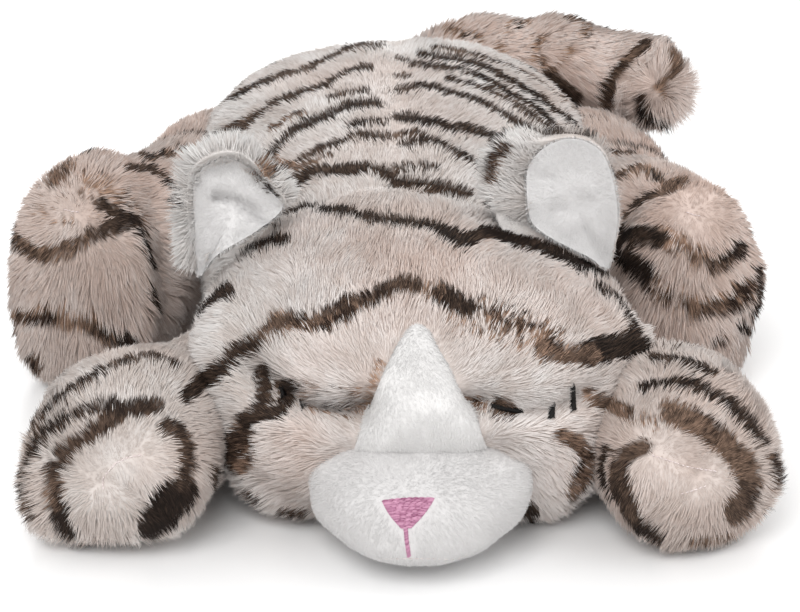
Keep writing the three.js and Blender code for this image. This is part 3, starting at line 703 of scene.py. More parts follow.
# Where the face is warmer: (how much, radius in pixels, pixel)
FACE_WARMTH = [(0.6, 90, (430, 270)), (0.25, 60, (300, 450)), (0.3, 60, (540, 440)), (0.3, 60, (560, 300)),
               (-0.3, 60, (230, 300)), (0.35, 34, (522, 332)), (0.2, 40, (330, 350))]
# How much lighter or deeper the pale pile is, and where on the face: (how much, radius in pixels, pixel)
DEPTH = {"front_leg": -0.5, "hind_leg": -0.4}
# The lightening at the right cheek is painted light: it lifts the cheek out of the shade that the key light leaves on
# that side.
FACE_DEPTH = [(-0.3, 80, (410, 250)), (0.1, 50, (310, 450)), (0.9, 55, (540, 455)), (-0.25, 40, (240, 310))]

# Where the pile is longer: (how much, radius in mm, pixel)
LONG_HAIR = {"hind_leg_left": [(0.45, 14, (88, 168)), (0.3, 12, (36, 190))], "tail": [(0.3, 14, (680, 92))],
             "hind_leg_right": [(0.3, 14, (664, 186))]}

_pelts = {}


class Pelt:
    """The skin of one stuffed bag: points, faces, normals and a search tree, in millimetres."""

    def __init__(self, name):
        form = FORMS[name]
        rings, sides = GRIDS[kind(name)]
        grid, start, end = stuffed(form, rings, sides, SKIN_INSET[kind(name)])
        self.name, self.rings, self.sides = name, rings - 1, sides
        points = np.vstack([start, grid.reshape(-1, 3), end])
        self.faces = ring_faces(self.rings, sides)
        plain = tree_of(points, self.faces)
        normals = vertex_normals(points, self.faces)
        lumps = LUMP_HEIGHT[kind(name)]
        push = sway(points, *LUMPS) * 2 * lumps + sway(points, *DIMPLES) * lumps
        for height, radius, pixels in SCULPT[name]:
            line = traced(plain, pixels)
            far = line_distance(points, line, radius * DOME_REACH)
            push += height * bell(far, radius)
        points = points + normals * push[:, None]
        points[:, 2] = np.maximum(points[:, 2], 0)
        self.points = points
        self.normals = vertex_normals(points, self.faces)
        self.tree = tree_of(points, self.faces)
        self.line = Line(form["path"])
        self.sole = laid(self.tree, SOLES[name]) if name in SOLES else None

    def along(self, points):
        """Share of the way along the bag's middle line that points are nearest to."""
        samples = self.line.points[::4]
        nearest = np.argmin(((points[:, None, :] - samples[None]) ** 2).sum(2), axis=1)
        return self.line.far[::4][nearest]

    def depth_of(self, points):
        """How deep points lie inside the bag, in mm, negative outside."""
        found = [self.tree.find_nearest(Vector(p)) for p in points]
        near = np.array([f[0] for f in found])
        facing = np.array([f[1] for f in found])
        away = points - near
        return norms(away) * np.where((away * facing).sum(1) < 0, 1, -1)


def pelt(name):
    """The skin of a bag, made once."""
    if name not in _pelts:
        _pelts[name] = Pelt(name)
    return _pelts[name]


def flow_of(bag, points, normals):
    """The way that the pile is combed over a bag, along its skin."""
    name = bag.name
    if name == "body":
        spine = points[:, 0] - BODY["path"][0][0]
        way = np.stack([0.55 * np.tanh(spine / 25), np.full(len(points), 0.75), np.zeros(len(points))], 1)
        way[:, 2] = -0.35 * smooth_between(20, 80, np.abs(spine))
    elif name == "head":
        way = unit(points - NOSE_MIDDLE)
        way[:, 2] += 0.25 * smooth_between(60, 95, points[:, 2]) - 0.3 * smooth_between(60, 25, points[:, 2])
    elif name == "tail":
        tip = bag.line.points[-1]
        fan = unit(points - tip - np.array((0, -22, 6)))
        along = unit(np.gradient(bag.line.points, axis=0))
        nearest = np.argmin(((points[:, None, :] - bag.line.points[::4][None]) ** 2).sum(2), axis=1)
        share = smooth_between(16, 40, norms(points - tip))[:, None]
        way = fan * (1 - share) + along[::4][nearest] * share
    else:
        way = unit(away_from(points, bag.sole))
    way = way + 0.55 * noise_vector(points, *COMB_SWEEP) + 0.45 * noise_vector(points, *COMB_WAVE)
    way -= normals * (way * normals).sum(1)[:, None]
    return unit(way)


def pile_of(bag, points):
    """Length of the pile over a bag, in mm: shorter at seams, eyes and gathered soles."""
    length = np.full(len(points), PILES[kind(bag.name)][0])
    length *= 0.85 + 0.35 * lattice_noise(points, *PILE_PATCHES)
    if bag.name == "body":
        length *= 0.45 + 0.55 * smooth_between(1, 6, np.abs(points[:, 0] - BODY["path"][0][0]))
    if bag.name == "head":
        nose = norms(points - NOSE_MIDDLE)
        length *= 0.72 + 0.28 * smooth_between(55, 110, nose)
        for pixels in LASHES["left"] + LASHES["right"] + [EYE_LINES["right"][1:]]:
            far = line_distance(points, traced(bag.tree, pixels), 12)
            length *= 0.3 + 0.7 * smooth_between(1.2, 6, far)
        length *= 0.5 + 0.5 * smooth_between(0, 7, outline_distance(bag, points, BRIDGE_OUTLINE))
    if bag.sole is not None:
        far = norms(away_from(points, bag.sole))
        length *= (0.35 + 0.65 * smooth_between(2, 15, far)) * (0.68 + 0.32 * smooth_between(18, 36, far))
    for more, radius, pixel in LONG_HAIR.get(bag.name, []):
        far = norms(points - seen_on(bag.tree, pixel))
        length *= 1 + more * bell(far, radius)
    return length


def outline_distance(bag, points, outline):
    """Distance from an outline laid on a bag, nothing inside it."""
    line = traced(bag.tree, outline + outline[:1])
    far = np.minimum(line_distance(points, line, 14), 14)
    ahead = (points - CAMERA_PLACE) * bag_normals_at(bag, points)
    inside = inside_outline(pixels_of(points), outline) & (ahead.sum(1) < 0)
    return np.where(inside, 0, far)


def bag_normals_at(bag, points):
    """A bag's own normals at its own points, or those of the nearest faces at others."""
    if len(points) == len(bag.points):
        return bag.normals
    return np.array([bag.tree.find_nearest(Vector(p))[1] for p in points])


EYE_LINES = {
    "left": [(300, 402), (312, 407), (326, 410), (340, 410)],
    "right": [(492, 405), (501, 408), (512, 410), (522, 411)],
}
# Width in pixels and rise in mm of each eye line
EYE_SATIN = {"left": (3, 0.4), "right": (4.8, 1.1)}
LASHES = {
    "left": [[(262, 380), (264, 392)], [(283, 385), (284, 398)], [(303, 397), (305, 410)]],
    "right": [[(551, 402), (551, 419)], [(571, 384), (573, 412)]],
}
# Which bags cover parts of which others, and from what depth their hair is left out, in mm
NEIGHBOURS = {
    "body": ["head", *LEGS, "tail"],
    "head": ["body", "muzzle"],
    "tail": ["body"],
    "front_leg": ["body", "head"],
    "hind_leg": ["body"],
}
HIDDEN_DEPTH = {"body": 7, "head": 7, "tail": 7, "front_leg": 7, "hind_leg": 7, "muzzle": 1.5}


# How much sparser the pile is below, where the toy rests, and on the sides turned from the camera
SPARSE_BELOW, SPARSE_BEHIND = 0.85, 0.48


def cover_of(bag):
    """Share of the full density of hair at each point of a skin."""
    cover = np.ones(len(bag.points))
    for other in NEIGHBOURS[kind(bag.name)]:
        limit = HIDDEN_DEPTH[kind(other)]
        depth = pelt(other).depth_of(bag.points)
        cover *= 1 - smooth_between(limit, limit + 3, depth)
    if bag.name == "head":
        cover *= smooth_between(0.2, 1.2, outline_distance(bag, bag.points, BRIDGE_OUTLINE))
    underside = smooth_between(-0.55, -0.85, bag.normals[:, 2]) * smooth_between(14, 5, bag.points[:, 2])
    cover *= 1 - SPARSE_BELOW * underside
    behind = ((bag.points - CAMERA_PLACE) * bag.normals).sum(1) / norms(bag.points - CAMERA_PLACE)
    return cover * (1 - SPARSE_BEHIND * smooth_between(0.05, 0.5, behind))


# How far a stripe's edge wanders, in mm: by fine noise, by slow noise and from hair to hair
EDGE_FINE, EDGE_SLOW, EDGE_LUCK = 1.3, 1.5, 1.5
# What a hair's random number is multiplied by to make a second one, and how far that spreads the brown
SECOND_LUCK, BROWN_SPREAD = 7.31, 0.9
# The least share of a stripe's width that is left where the skin is seen edge on, and how fast it gets there
LEAST_WIDTH, NARROWING = 0.12, 2.6
# How far from a stripe its hairs end in mm, and the most pixels that a mm takes up
STRIPE_REACH, MOST_PIXELS = 3, 2.9
# Share of dark that a bare patch in a stripe keeps
BARE_PATCH = 0.06


def pattern_of(bag, places, luck):
    """Shares of dark and of brown hair where the pile shows; luck is a random number for each hair."""
    edge = sway(places, *STRIPE_EDGE) * EDGE_FINE + sway(places, *STRIPE_WAVER) * EDGE_SLOW
    edge += (luck - 0.5) * EDGE_LUCK
    varied = ((luck * SECOND_LUCK) % 1 - 0.5) * BROWN_SPREAD
    dark, brown = np.zeros(len(places)), np.zeros(len(places))
    shown, sight, turned = bag_shares(bag, places)
    narrow = np.clip(LEAST_WIDTH - NARROWING * turned, LEAST_WIDTH, 1)
    seen = flat(pixels_of(places))
    scale = FOCAL_PIXELS / norms(places - CAMERA_PLACE)
    for width, brownness, fullness, pixels in STRIPES[bag.name]:
        line = path_line(flat(pixels), 6)
        width = width * STRIPE_SPREAD[kind(bag.name)]
        far = line_distance(seen, line, (width / 2 + STRIPE_REACH) * MOST_PIXELS) / scale
        sure = smooth_between(0.55, -0.55, far - width / 2 * narrow + edge)
        patchy = lattice_noise(places, *STRIPE_PATCHES) * 0.6 + luck * 0.4
        sure = np.where(patchy < 0.25 + 0.78 * fullness**1.4, sure, sure * BARE_PATCH) * shown
        sure = smooth_between(0.3, 0.6, sure + (luck - 0.5) * 0.2)
        brown = np.where(sure > dark, np.clip(brownness + varied * (brownness + 0.15), 0, 1), brown)
        dark = np.maximum(dark, sure)
    spacing, width = HIDDEN_STRIPES[kind(bag.name)]
    if bag.name == "body":
        run = places[:, 1] + 0.12 * np.abs(places[:, 0]) - 0.9 * places[:, 2] * smooth_between(115, 160, places[:, 1])
    elif bag.name == "head":
        run = norms(places - NOSE_MIDDLE)
    elif bag.name == "tail":
        run = bag.along(places)
    else:
        run = norms(away_from(places, bag.sole))
        run = run - 0.8 * places[:, 2] * smooth_between(75, 120, run)
    run = run + sway(places, *RING_WAVER) * spacing * 0.9
    far = np.abs((run / spacing) % 1 - 0.5) * spacing
    broken = lattice_noise(places, *RING_GAPS)
    ring = smooth_between(0.8, -0.6, far - width / 2 * (0.35 + broken) + edge * 0.6)
    ring *= smooth_between(0.24, 0.36, broken) * sight
    brown = np.where(ring > dark, 0.3 * broken, brown)
    dark = np.maximum(dark, ring)
    return dark, brown


def bag_shares(bag, places):
    """Shares of the stripes seen in the picture and of the rings on hidden sides, for each place."""
    turned = (unit(places - CAMERA_PLACE) * bag_normals_at(bag, places)).sum(1)
    hidden = smooth_between(-0.06, 0.06, turned)
    shown = 1 - smooth_between(0.08, 0.3, turned)
    low = np.zeros(len(places))
    if bag.name == "body":
        low = smooth_between(34, 26, places[:, 2])
        behind = norms((pixels_of(places) - (415, 360)) / (235, 165))
        low = np.maximum(low, smooth_between(1, 0.9, behind))
    if bag.name.startswith("hind"):
        low = smooth_between(60, 90, places[:, 1]) * 0.9
    return shown * (1 - low), np.maximum(hidden, low), turned


def blush_of(bag, places):
    """Warmth of the pale pile, which drifts over the cloth."""
    drift = sway(places, *BLUSH_DRIFT) * 0.7 + sway(places, *BLUSH_SPECKS) * 0.3
    return np.clip(WARMTH[bag.name] + drift + on_face(bag, places, FACE_WARMTH), -1, 1)


def on_face(bag, places, spots):
    """The sum of soft spots on the face, nothing on the other bags."""
    total = np.zeros(len(places))
    if bag.name == "head":
        pixels = pixels_of(places)
        for much, radius, pixel in spots:
            total += much * bell(norms(pixels - pixel), radius)
    return total


# Node trees


def once(make):
    """Let a maker of named materials or trees make each one only the first time that it is asked for."""
    made = {}

    def given(name, *settings):
        if name not in made:
            made[name] = make(name, *settings)
        return made[name]

    return given


class Wire:
    """A socket that takes part in plain sums; every sum on values adds its Math node."""

    def __init__(self, board, socket):
        self.board, self.socket = board, socket

    def _sum(self, operation, *values):
        """The Math node of an operation on values."""
        node = self.board.add("ShaderNodeMath", {"operation": operation}, dict(enumerate(values)))
        return Wire(self.board, node.outputs[0])

    def __add__(self, other):
        return self._sum("ADD", self, other)

    def __sub__(self, other):
        return self._sum("SUBTRACT", self, other)

    def __rsub__(self, other):
        return self._sum("SUBTRACT", other, self)

    def __mul__(self, other):
        return self._sum("MULTIPLY", self, other)

    def __truediv__(self, other):
        return self._sum("DIVIDE", self, other)

    def at_least(self, low):
        """The value or low, whichever is more."""
        return self._sum("MAXIMUM", self, low)

    def clipped(self):
        """The value kept between 0 and 1."""
        return self._sum("MINIMUM", self.at_least(0), 1)

    __radd__ = __add__
    __rmul__ = __mul__


class Board:
    """A node tree, of a material or of Geometry Nodes, to which nodes are added one call each."""

    def __init__(self, tree):
        self.tree = tree

    def add(self, sort, settings=None, values=None):
        """A new node, with its settings and the values or links of its sockets."""
        node = self.tree.nodes.new(sort)
        for name, value in (settings or {}).items():
            setattr(node, name, value)
        for key, value in (values or {}).items():
            socket = node.inputs[key]
            if isinstance(value, Wire):
                self.tree.links.new(value.socket, socket)
            elif isinstance(value, bpy.types.NodeSocket):
                self.tree.links.new(value, socket)
            else:
                socket.default_value = value
        return node

    def wire(self, sort, settings=None, values=None, output=0):
        """One output of a new node."""
        return Wire(self, self.add(sort, settings, values).outputs[output])

    def vector_sum(self, operation, *values):
        """The Vector Math node of an operation on vectors."""
        return self.wire("ShaderNodeVectorMath", {"operation": operation}, dict(enumerate(values)))

    def scaled(self, vector, factor):
        """A vector times a value."""
        return self.wire("ShaderNodeVectorMath", {"operation": "SCALE"}, {0: vector, "Scale": factor})

    def split(self, vector):
        """The three values of a vector."""
        return [Wire(self, socket) for socket in self.add("ShaderNodeSeparateXYZ", None, {0: vector}).outputs]

    def joined(self, x=0.0, y=0.0, z=0.0):
        """A vector of three values."""
        return self.wire("ShaderNodeCombineXYZ", None, {0: x, 1: y, 2: z})

    def mixed(self, factor, first, second, blend="MIX"):
        """Mix of two colours, each a wire or three plain numbers."""
        first, second = (end if isinstance(end, Wire) else colour(end) for end in (first, second))
        return self.wire(
            "ShaderNodeMix", {"data_type": "RGBA", "blend_type": blend, "clamp_factor": True},
            {0: factor, 6: first, 7: second}, 2,
        )

    def painted(self, name):
        """The node of a mesh attribute, read in a material."""
        return self.add("ShaderNodeAttribute", {"attribute_type": "GEOMETRY", "attribute_name": name})

    def noise(self, place, scale, detail, roughness=0.5):
        """Smooth noise in a material."""
        return self.wire("ShaderNodeTexNoise", None,
                         {"Vector": place, "Scale": scale, "Detail": detail, "Roughness": roughness})

    def coat(self, shader, base, height=None, strength=0.0, distance=0.0):
        """Link a colour to a shader, and a height as bump."""
        self.tree.links.new(base.socket, shader.inputs["Base Color"])
        if height:
            bump = self.wire("ShaderNodeBump", None, {"Strength": strength, "Distance": distance, "Height": height})
            self.tree.links.new(bump.socket, shader.inputs["Normal"])

    def scattered(self, mesh, density, seed):
        """The node that scatters points over a mesh."""
        return self.add("GeometryNodeDistributePointsOnFaces", {"distribute_method": "RANDOM"},
                        {"Mesh": mesh, "Density": density, "Seed": seed})

    def moved(self, geometry, **how):
        """A geometry whose points are set to a Position or moved by an Offset."""
        return self.wire("GeometryNodeSetPosition", None, {"Geometry": geometry, **how})

    def named(self, name, sort="FLOAT"):
        """A stored attribute, read in Geometry Nodes."""
        return self.wire("GeometryNodeInputNamedAttribute", {"data_type": sort}, {"Name": name})

    def kept(self, geometry, name, value, sort="FLOAT_VECTOR"):
        """A geometry on which a value is stored as an attribute."""
        return self.wire("GeometryNodeStoreNamedAttribute", {"data_type": sort, "domain": "POINT"},
                         {"Geometry": geometry, "Name": name, "Value": value})

    def ended(self, geometry, material, outside):
        """Send a geometry out of the tree in its material."""
        done = self.wire("GeometryNodeSetMaterial", None, {"Geometry": geometry, "Material": material})
        self.tree.links.new(done.socket, outside.inputs[0])
        return self.tree

    def chance(self, low, high, seed, sort="FLOAT"):
        """A random number or vector for each element."""
        at = {"FLOAT": (2, 3, 1), "FLOAT_VECTOR": (0, 1, 0)}[sort]
        return self.wire(
            "FunctionNodeRandomValue", {"data_type": sort}, {at[0]: low, at[1]: high, "Seed": seed}, at[2]
        )


def new_growth(name, inputs):
    """A board of an empty Geometry Nodes tree that takes and gives a mesh, its named inputs and its end."""
    tree = bpy.data.node_groups.new(name, "GeometryNodeTree")
    tree.interface.new_socket("Mesh", in_out="OUTPUT", socket_type="NodeSocketGeometry")
    tree.interface.new_socket("Mesh", in_out="INPUT", socket_type="NodeSocketGeometry")
    for label, sort, default in inputs:
        socket = tree.interface.new_socket(label, in_out="INPUT", socket_type="NodeSocket" + sort)
        if default is not None:
            socket.default_value = default
    board = Board(tree)
    given = {socket.name: Wire(board, socket) for socket in board.add("NodeGroupInput").outputs if socket.name}
    return board, given, board.add("NodeGroupOutput")


def grown(carrier, tree, values, name):
    """The plain mesh object that a tree makes of a carrier; the carrier is then removed."""
    modifier = carrier.modifiers.new(tree.name, "NODES")
    modifier.node_group = tree
    for item in tree.interface.items_tree:
        if item.item_type == "SOCKET" and item.in_out == "INPUT" and item.name in values:
            modifier[item.identifier] = values[item.name]
    bpy.context.view_layer.update()
    mesh = bpy.data.meshes.new_from_object(carrier.evaluated_get(bpy.context.evaluated_depsgraph_get()))
    carrier.modifiers.clear()
    base = carrier.data
    bpy.data.objects.remove(carrier)
    bpy.data.meshes.remove(base)
    mesh.name = name
    return placed(name, mesh)


def placed(name, data):
    """A new object of the scene."""
    piece = bpy.data.objects.new(name, data)
    bpy.context.collection.objects.link(piece)
    return piece


def mesh_piece(name, points, faces, material=None, smooth=True):
    """A mesh object of points in millimetres; its place is in its mesh."""
    mesh = bpy.data.meshes.new(name)
    mesh.from_pydata([tuple(p) for p in np.asarray(points) * MM], [], faces)
    mesh.polygons.foreach_set("use_smooth", [smooth] * len(mesh.polygons))
    mesh.update()
    if material:
        mesh.materials.append(material)
    return placed(name, mesh)


def store(mesh, name, sort, values):
    """Keep values on a mesh's points as an attribute."""
    attribute = mesh.attributes.new(name, sort, "POINT")
    key = {"FLOAT": "value", "FLOAT_VECTOR": "vector", "FLOAT_COLOR": "color"}[sort]
    attribute.data.foreach_set(key, np.ascontiguousarray(values, np.float32).ravel())


# A strand is a thin blade: points, faces and each point's place in the strand's own cell of the map
STRAND_POINTS = 4
STRAND_FACES = np.array([(2, 1, 0), (3, 2, 0), (1, 3, 0), (2, 3, 1)])
STRAND_MAP = np.array([(0.5, 0.94), (0.5, 0.06), (0.1, 0.5), (0.9, 0.5)])
# What the tufts' seed is more than the strands' seed
TUFT_SEED = 7
# How far up a strand is widest, and how deep its keel is, as shares of its length
STRAND_WIDEST, STRAND_KEEL = 0.45, 0.05
# How far above the floor the pile stays, in m
OFF_FLOOR = 0.0003
# How far the tips sink, and how far up a strand the pattern decides its colour, as shares of its length
DROOP, SHOWN_AT = 0.12, 0.78


@once
def pile_tree(name):
    """Geometry Nodes that plant strands of pile on a skin, pulled together into tufts."""
    board, given, outside = new_growth(name, [
        ("Strands", "Float", 1e6), ("Tufts", "Float", 5e4), ("Strand width", "Float", 0.00033),
        ("Pull", "Float", 0.6), ("Stray", "Float", 0.2), ("Droop", "Float", 0.2), ("Seed", "Int", 1),
        ("Material", "Material", None),
    ])
    cover = board.named("cover")
    plant = board.scattered(given["Mesh"], cover * given["Strands"], given["Seed"])
    tufts = board.scattered(given["Mesh"], given["Tufts"], given["Seed"] + TUFT_SEED).outputs["Points"]
    place = board.wire("GeometryNodeInputPosition")
    comb = board.named("comb", "FLOAT_VECTOR")
    pile = board.named("pile")
    nearest = board.wire("GeometryNodeSampleNearest", {"domain": "POINT"}, {"Geometry": tufts})
    own_tip = board.vector_sum("ADD", place, board.scaled(comb, pile))
    tuft_tip = board.wire("GeometryNodeSampleIndex", {"data_type": "FLOAT_VECTOR", "domain": "POINT"},
                          {"Geometry": tufts, "Value": own_tip, "Index": nearest})
    pull = given["Pull"] * board.chance(0.55, 1.0, 3)
    aim = board.vector_sum("SUBTRACT", board.wire(
        "ShaderNodeMix", {"data_type": "VECTOR"}, {0: pull, 4: own_tip, 5: tuft_tip}, 1), place)
    stray = board.scaled(board.chance((-1, -1, -1), (1, 1, 1), 4, "FLOAT_VECTOR"), given["Stray"] * pile)
    aim = board.vector_sum("ADD", aim, stray)
    turned = board.wire("FunctionNodeAlignRotationToVector", {"axis": "Z"}, {"Vector": aim})
    turned = board.wire("FunctionNodeAlignRotationToVector", {"axis": "X", "pivot_axis": "Z"}, {
        "Rotation": turned, "Vector": plant.outputs["Normal"]})
    length = pile * board.chance(0.72, 1.12, 5)
    thick = given["Strand width"] * board.chance(0.38, 0.62, 6)
    points = board.kept(plant.outputs["Points"], "root", place)
    points = board.kept(points, "facing", plant.outputs["Normal"])
    strand = board.wire("GeometryNodeMeshCone", {"fill_type": "NGON"}, {
        "Vertices": 3, "Side Segments": 1, "Fill Segments": 1, "Radius Top": 0.0, "Radius Bottom": 1.0, "Depth": 1.0})
    # The base of a cone of three sides becomes the strand's root and its two widest points
    across, deep, up = board.split(place)
    middle = (1 - across - up) / 1.5
    strand = board.moved(strand, Position=board.joined(middle, deep / 0.866, up + middle * STRAND_WIDEST))
    strand = board.kept(strand, "along", board.split(place)[2], "FLOAT")
    size = board.joined(length * STRAND_KEEL, thick, length)
    planted = board.wire("GeometryNodeInstanceOnPoints", None, {
        "Points": points, "Instance": strand, "Rotation": turned, "Scale": size})
    loose = board.wire("GeometryNodeRealizeInstances", None, {"Geometry": planted})
    up = board.named("along")
    bent = board.moved(loose, Offset=board.joined(z=up * up * given["Droop"] * pile * -1.0))
    x, y, z = board.split(place)
    clear = board.moved(bent, Position=board.joined(x, y, z.at_least(OFF_FLOOR)))
    return board.ended(clear, given["Material"], outside)


def by_strand(mesh, name, size):
    """An attribute of grown pile, for each strand and each of its points."""
    values = np.zeros(len(mesh.vertices) * size, np.float32)
    mesh.attributes[name].data.foreach_get("value" if size == 1 else "vector", values)
    return values.reshape(-1, STRAND_POINTS, size).astype(float)


# The most strands that one piece may hold
MOST_STRANDS = 49000
# How far the strands' tones are spread from the middle one
TONE_CONTRAST = 1.9
# Short nap: length in mm, strands a square mm, seed
NAPS = {"muzzle": (1.7, 2.6, 451), "bridge": (1.5, 3.2, 461),
        "ear_left_lining": (1.9, 3.3, 510), "ear_right_lining": (1.9, 3.3, 512)}
# The nap's tufts a square mm, pull to tufts and stray; its strands' width in mm; its share of the skin's light
NAP_TUFTS = (0.6, 0.2, 0.3)
NAP_WIDTH = 0.17
NAP_SOFTEN = 0.6


def fuzz(name, points, faces, flow, cover, body, material):
    """Short brushed nap over a closed form, in one piece."""
    length, density, seed = NAPS[name]
    normals = vertex_normals(points, faces)
    flow = flow - normals * (flow * normals).sum(1)[:, None]
    comb = unit(unit(flow) * 0.9 + normals * 0.45 + 0.6 * noise_vector(points, 7, seed))
    bag = types.SimpleNamespace(name=name, points=points, faces=faces)
    pile = np.full(len(points), float(length))
    plant_fur(bag, comb, pile, cover, body, "white_nap", seed, (length, density, 0, *NAP_TUFTS), material)


def plant_fur(bag, comb, pile, cover, body, slot, seed, sort, material):
    """Grow a skin's fur, dye it by its pattern and split it into pieces that ride on a body."""
    fur = bpy.context.scene.tiger_fur
    name = f"{bag.name}_fur"
    striped = slot == "striped_fur"
    carrier = mesh_piece(f"{bag.name}_carrier", bag.points, bag.faces, material)
    store(carrier.data, "comb", "FLOAT_VECTOR", comb)
    store(carrier.data, "pile", "FLOAT", pile * MM)
    store(carrier.data, "cover", "FLOAT", cover)
    _, strands, _, tufts, pull, stray = sort
    whole = grown(carrier, pile_tree("Fur pile"), {
        "Strands": strands * fur.strand_share * 1e6, "Tufts": tufts * 1e6,
        "Strand width": fur.strand_width if striped else NAP_WIDTH * MM,
        "Pull": pull, "Stray": stray, "Droop": DROOP, "Seed": seed, "Material": material}, name)
    mesh = whole.data
    spots = by_strand(mesh, "position", 3) / MM
    root = by_strand(mesh, "root", 3)[:, 0] / MM
    facing = by_strand(mesh, "facing", 3)[:, 0]
    along = by_strand(mesh, "along", 1)[..., 0]
    bpy.data.objects.remove(whole)
    bpy.data.meshes.remove(mesh)
    count = len(root)
    luck = np.random.RandomState(seed).rand(count)
    top = spots[np.arange(count), np.argmax(along, axis=1)]
    dark, brown = pattern_of(bag, root + SHOWN_AT * (top - root), luck) if striped else np.zeros((2, count))
    if name.startswith("ear"):
        facing = unit(0.5 * facing + unit(top - root) + np.array((0, -0.35, 0.3)))
    tone = lattice_noise(root, *TONE_DRIFT) * 0.4 + lattice_noise(root, *TONE_SPECKS) * 0.35 + luck * 0.25
    shift = (DEPTH.get(kind(bag.name), 0) + on_face(bag, root, FACE_DEPTH)) * (1 - dark)
    tone = np.clip(0.5 + (tone - 0.5) * TONE_CONTRAST + shift, 0, 1)
    blush = blush_of(bag, root) if striped else tone
    dye = [dark[:, None], brown[:, None], tone[:, None], along]
    dye = np.stack(np.broadcast_arrays(*dye), -1)
    order = np.argsort(root[:, 0], kind="stable")
    bands = max(1, math.ceil(count / MOST_STRANDS))
    for band in range(bands):
        part = order[band * count // bands : (band + 1) * count // bands]
        label = f"{name}_{band + 1}" if bands > 1 else name
        piece = strands_piece(label, spots[part], facing[part], fur.soften if striped else NAP_SOFTEN,
                              dye[part], blush[part], material)
        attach(piece, body)


def strands_piece(name, spots, facing, soften, dye, blush, material):
    """One mesh of many bent strands, with its dye and a map that gives every strand a cell of its own."""
    count = len(spots)
    faces = (STRAND_FACES[None] + (np.arange(count) * STRAND_POINTS)[:, None, None]).reshape(-1, 3)
    mesh = bpy.data.meshes.new(name)
    mesh.vertices.add(count * STRAND_POINTS)
    mesh.vertices.foreach_set("co", (spots * MM).astype(np.float32).ravel())
    mesh.loops.add(len(faces) * 3)
    mesh.loops.foreach_set("vertex_index", faces.astype(np.int32).ravel())
    mesh.polygons.add(len(faces))
    mesh.polygons.foreach_set("loop_start", np.arange(0, len(faces) * 3, 3, dtype=np.int32))
    mesh.polygons.foreach_set("use_smooth", [True] * len(faces))
    mesh.update(calc_edges=True)
    store(mesh, "dye", "FLOAT_COLOR", dye)
    store(mesh, "blush", "FLOAT", np.repeat(blush, STRAND_POINTS))
    columns = math.ceil(math.sqrt(count))
    corner = np.stack([np.arange(count) % columns, np.arange(count) // columns], 1)
    own_map = (corner[:, None, None, :] + STRAND_MAP[STRAND_FACES][None]) / columns
    layer = mesh.uv_layers.new(name=MAP_NAME)
    layer.uv.foreach_set("vector", own_map.astype(np.float32).ravel())
    chord = (spots[:, 0] + spots[:, 1]) / 2
    keel = unit((spots[:, 2] + spots[:, 3]) / 2 - chord)
    own = np.stack([keel, keel, unit(spots[:, 2] - chord), unit(spots[:, 3] - chord)], 1)
    blended = unit(own * (1 - soften) + facing[:, None, :] * soften)
    mesh.normals_split_custom_set_from_vertices(blended.reshape(-1, 3).tolist())
    mesh.materials.append(material)
    return placed(name, mesh)


# Materials


def new_material(name, settings):
    """A material, a board of its nodes and its Principled shader with plain values on its sockets."""
    material = bpy.data.materials.new(name)
    material.use_nodes = True
    shader = material.node_tree.nodes["Principled BSDF"]
    for key, value in settings.items():
        shader.inputs[key].default_value = value
    return material, Board(material.node_tree), shader


def colour(value):
    """A colour as a socket takes it, with its alpha."""
    return tuple(value[:3]) + (1.0,)


@once
def fur_material(name, fur):
    """Long polyester pile: cream with dark and brown stripes, shaded towards its roots."""
    material, board, shader = new_material(name, {
        "Roughness": 0.62, "Specular IOR Level": 0.1, "Sheen Weight": fur.sheen, "Sheen Roughness": 0.5})
    dye = board.painted("dye")
    parts = board.add("ShaderNodeSeparateColor", None, {0: dye.outputs["Color"]})
    dark, brown, tone = (Wire(board, parts.outputs[k]) for k in range(3))
    along = Wire(board, dye.outputs["Alpha"])
    pale = board.mixed(tone, fur.pale_shade, fur.pale)
    blush = Wire(board, board.painted("blush").outputs[2])
    pale = board.mixed(blush, pale, board.mixed(0.85, pale, fur.blush, "MULTIPLY"))
    # Painted shade: the pile darkens towards its roots, where the strands shade each other.
    pale = board.mixed((along * 1.6 + 0.25).clipped(), board.mixed(0.5, pale, fur.root), pale)
    # Painted highlight: the tips of the pile turn white as though they catch the light. Where the blush is below
    # nothing the pale pile turns a cool white, its own tone on most bags and painted light on the left ear.
    cool = (blush * -1.0).clipped() * (tone * 0.9 + 0.35)
    tip_highlight_and_cool = ((along * 1.4 - 0.85).clipped() * (tone * 0.7 + 0.65) + cool).clipped()
    pale = board.mixed(tip_highlight_and_cool, pale, fur.white)
    dark_hair = board.mixed(tone, fur.dark, fur.dark_tip)
    tipped = board.mixed((along * 1.7 + tone * 1.9 - 1.5).clipped(), fur.brown, fur.brown_shade)
    board.coat(shader, board.mixed(dark, pale, board.mixed(brown, dark_hair, tipped)))
    return material


@once
def nap_material(name, light, deep):
    """Short brushed nap: a fine fuzz of clumps over a faint knit."""
    material, board, shader = new_material(name, {
        "Roughness": 0.9, "Specular IOR Level": 0.15, "Sheen Weight": 0.35})
    place = board.wire("ShaderNodeTexCoord", None, None, 3)
    clumps, fine = board.noise(place, 260, 5, 0.62), board.noise(place, 1500, 2, 0.6)
    broad = board.noise(place, 45, 2)
    level = (clumps * 0.5 + fine * 0.3 + broad * 0.2 - 0.25) * 2
    board.coat(shader, board.mixed(level.clipped(), deep, light), clumps * 0.6 + fine * 0.4, 0.55, 0.0009)
    return material


def deeper(light):
    """The deeper tone that goes with a light one."""
    return [value * 0.87 for value in light]


def white_nap():
    """The nap of the muzzle."""
    nap = bpy.context.scene.tiger_nap
    return nap_material("white nap", nap.white, nap.shade)


# Sizes and colours that a user may change


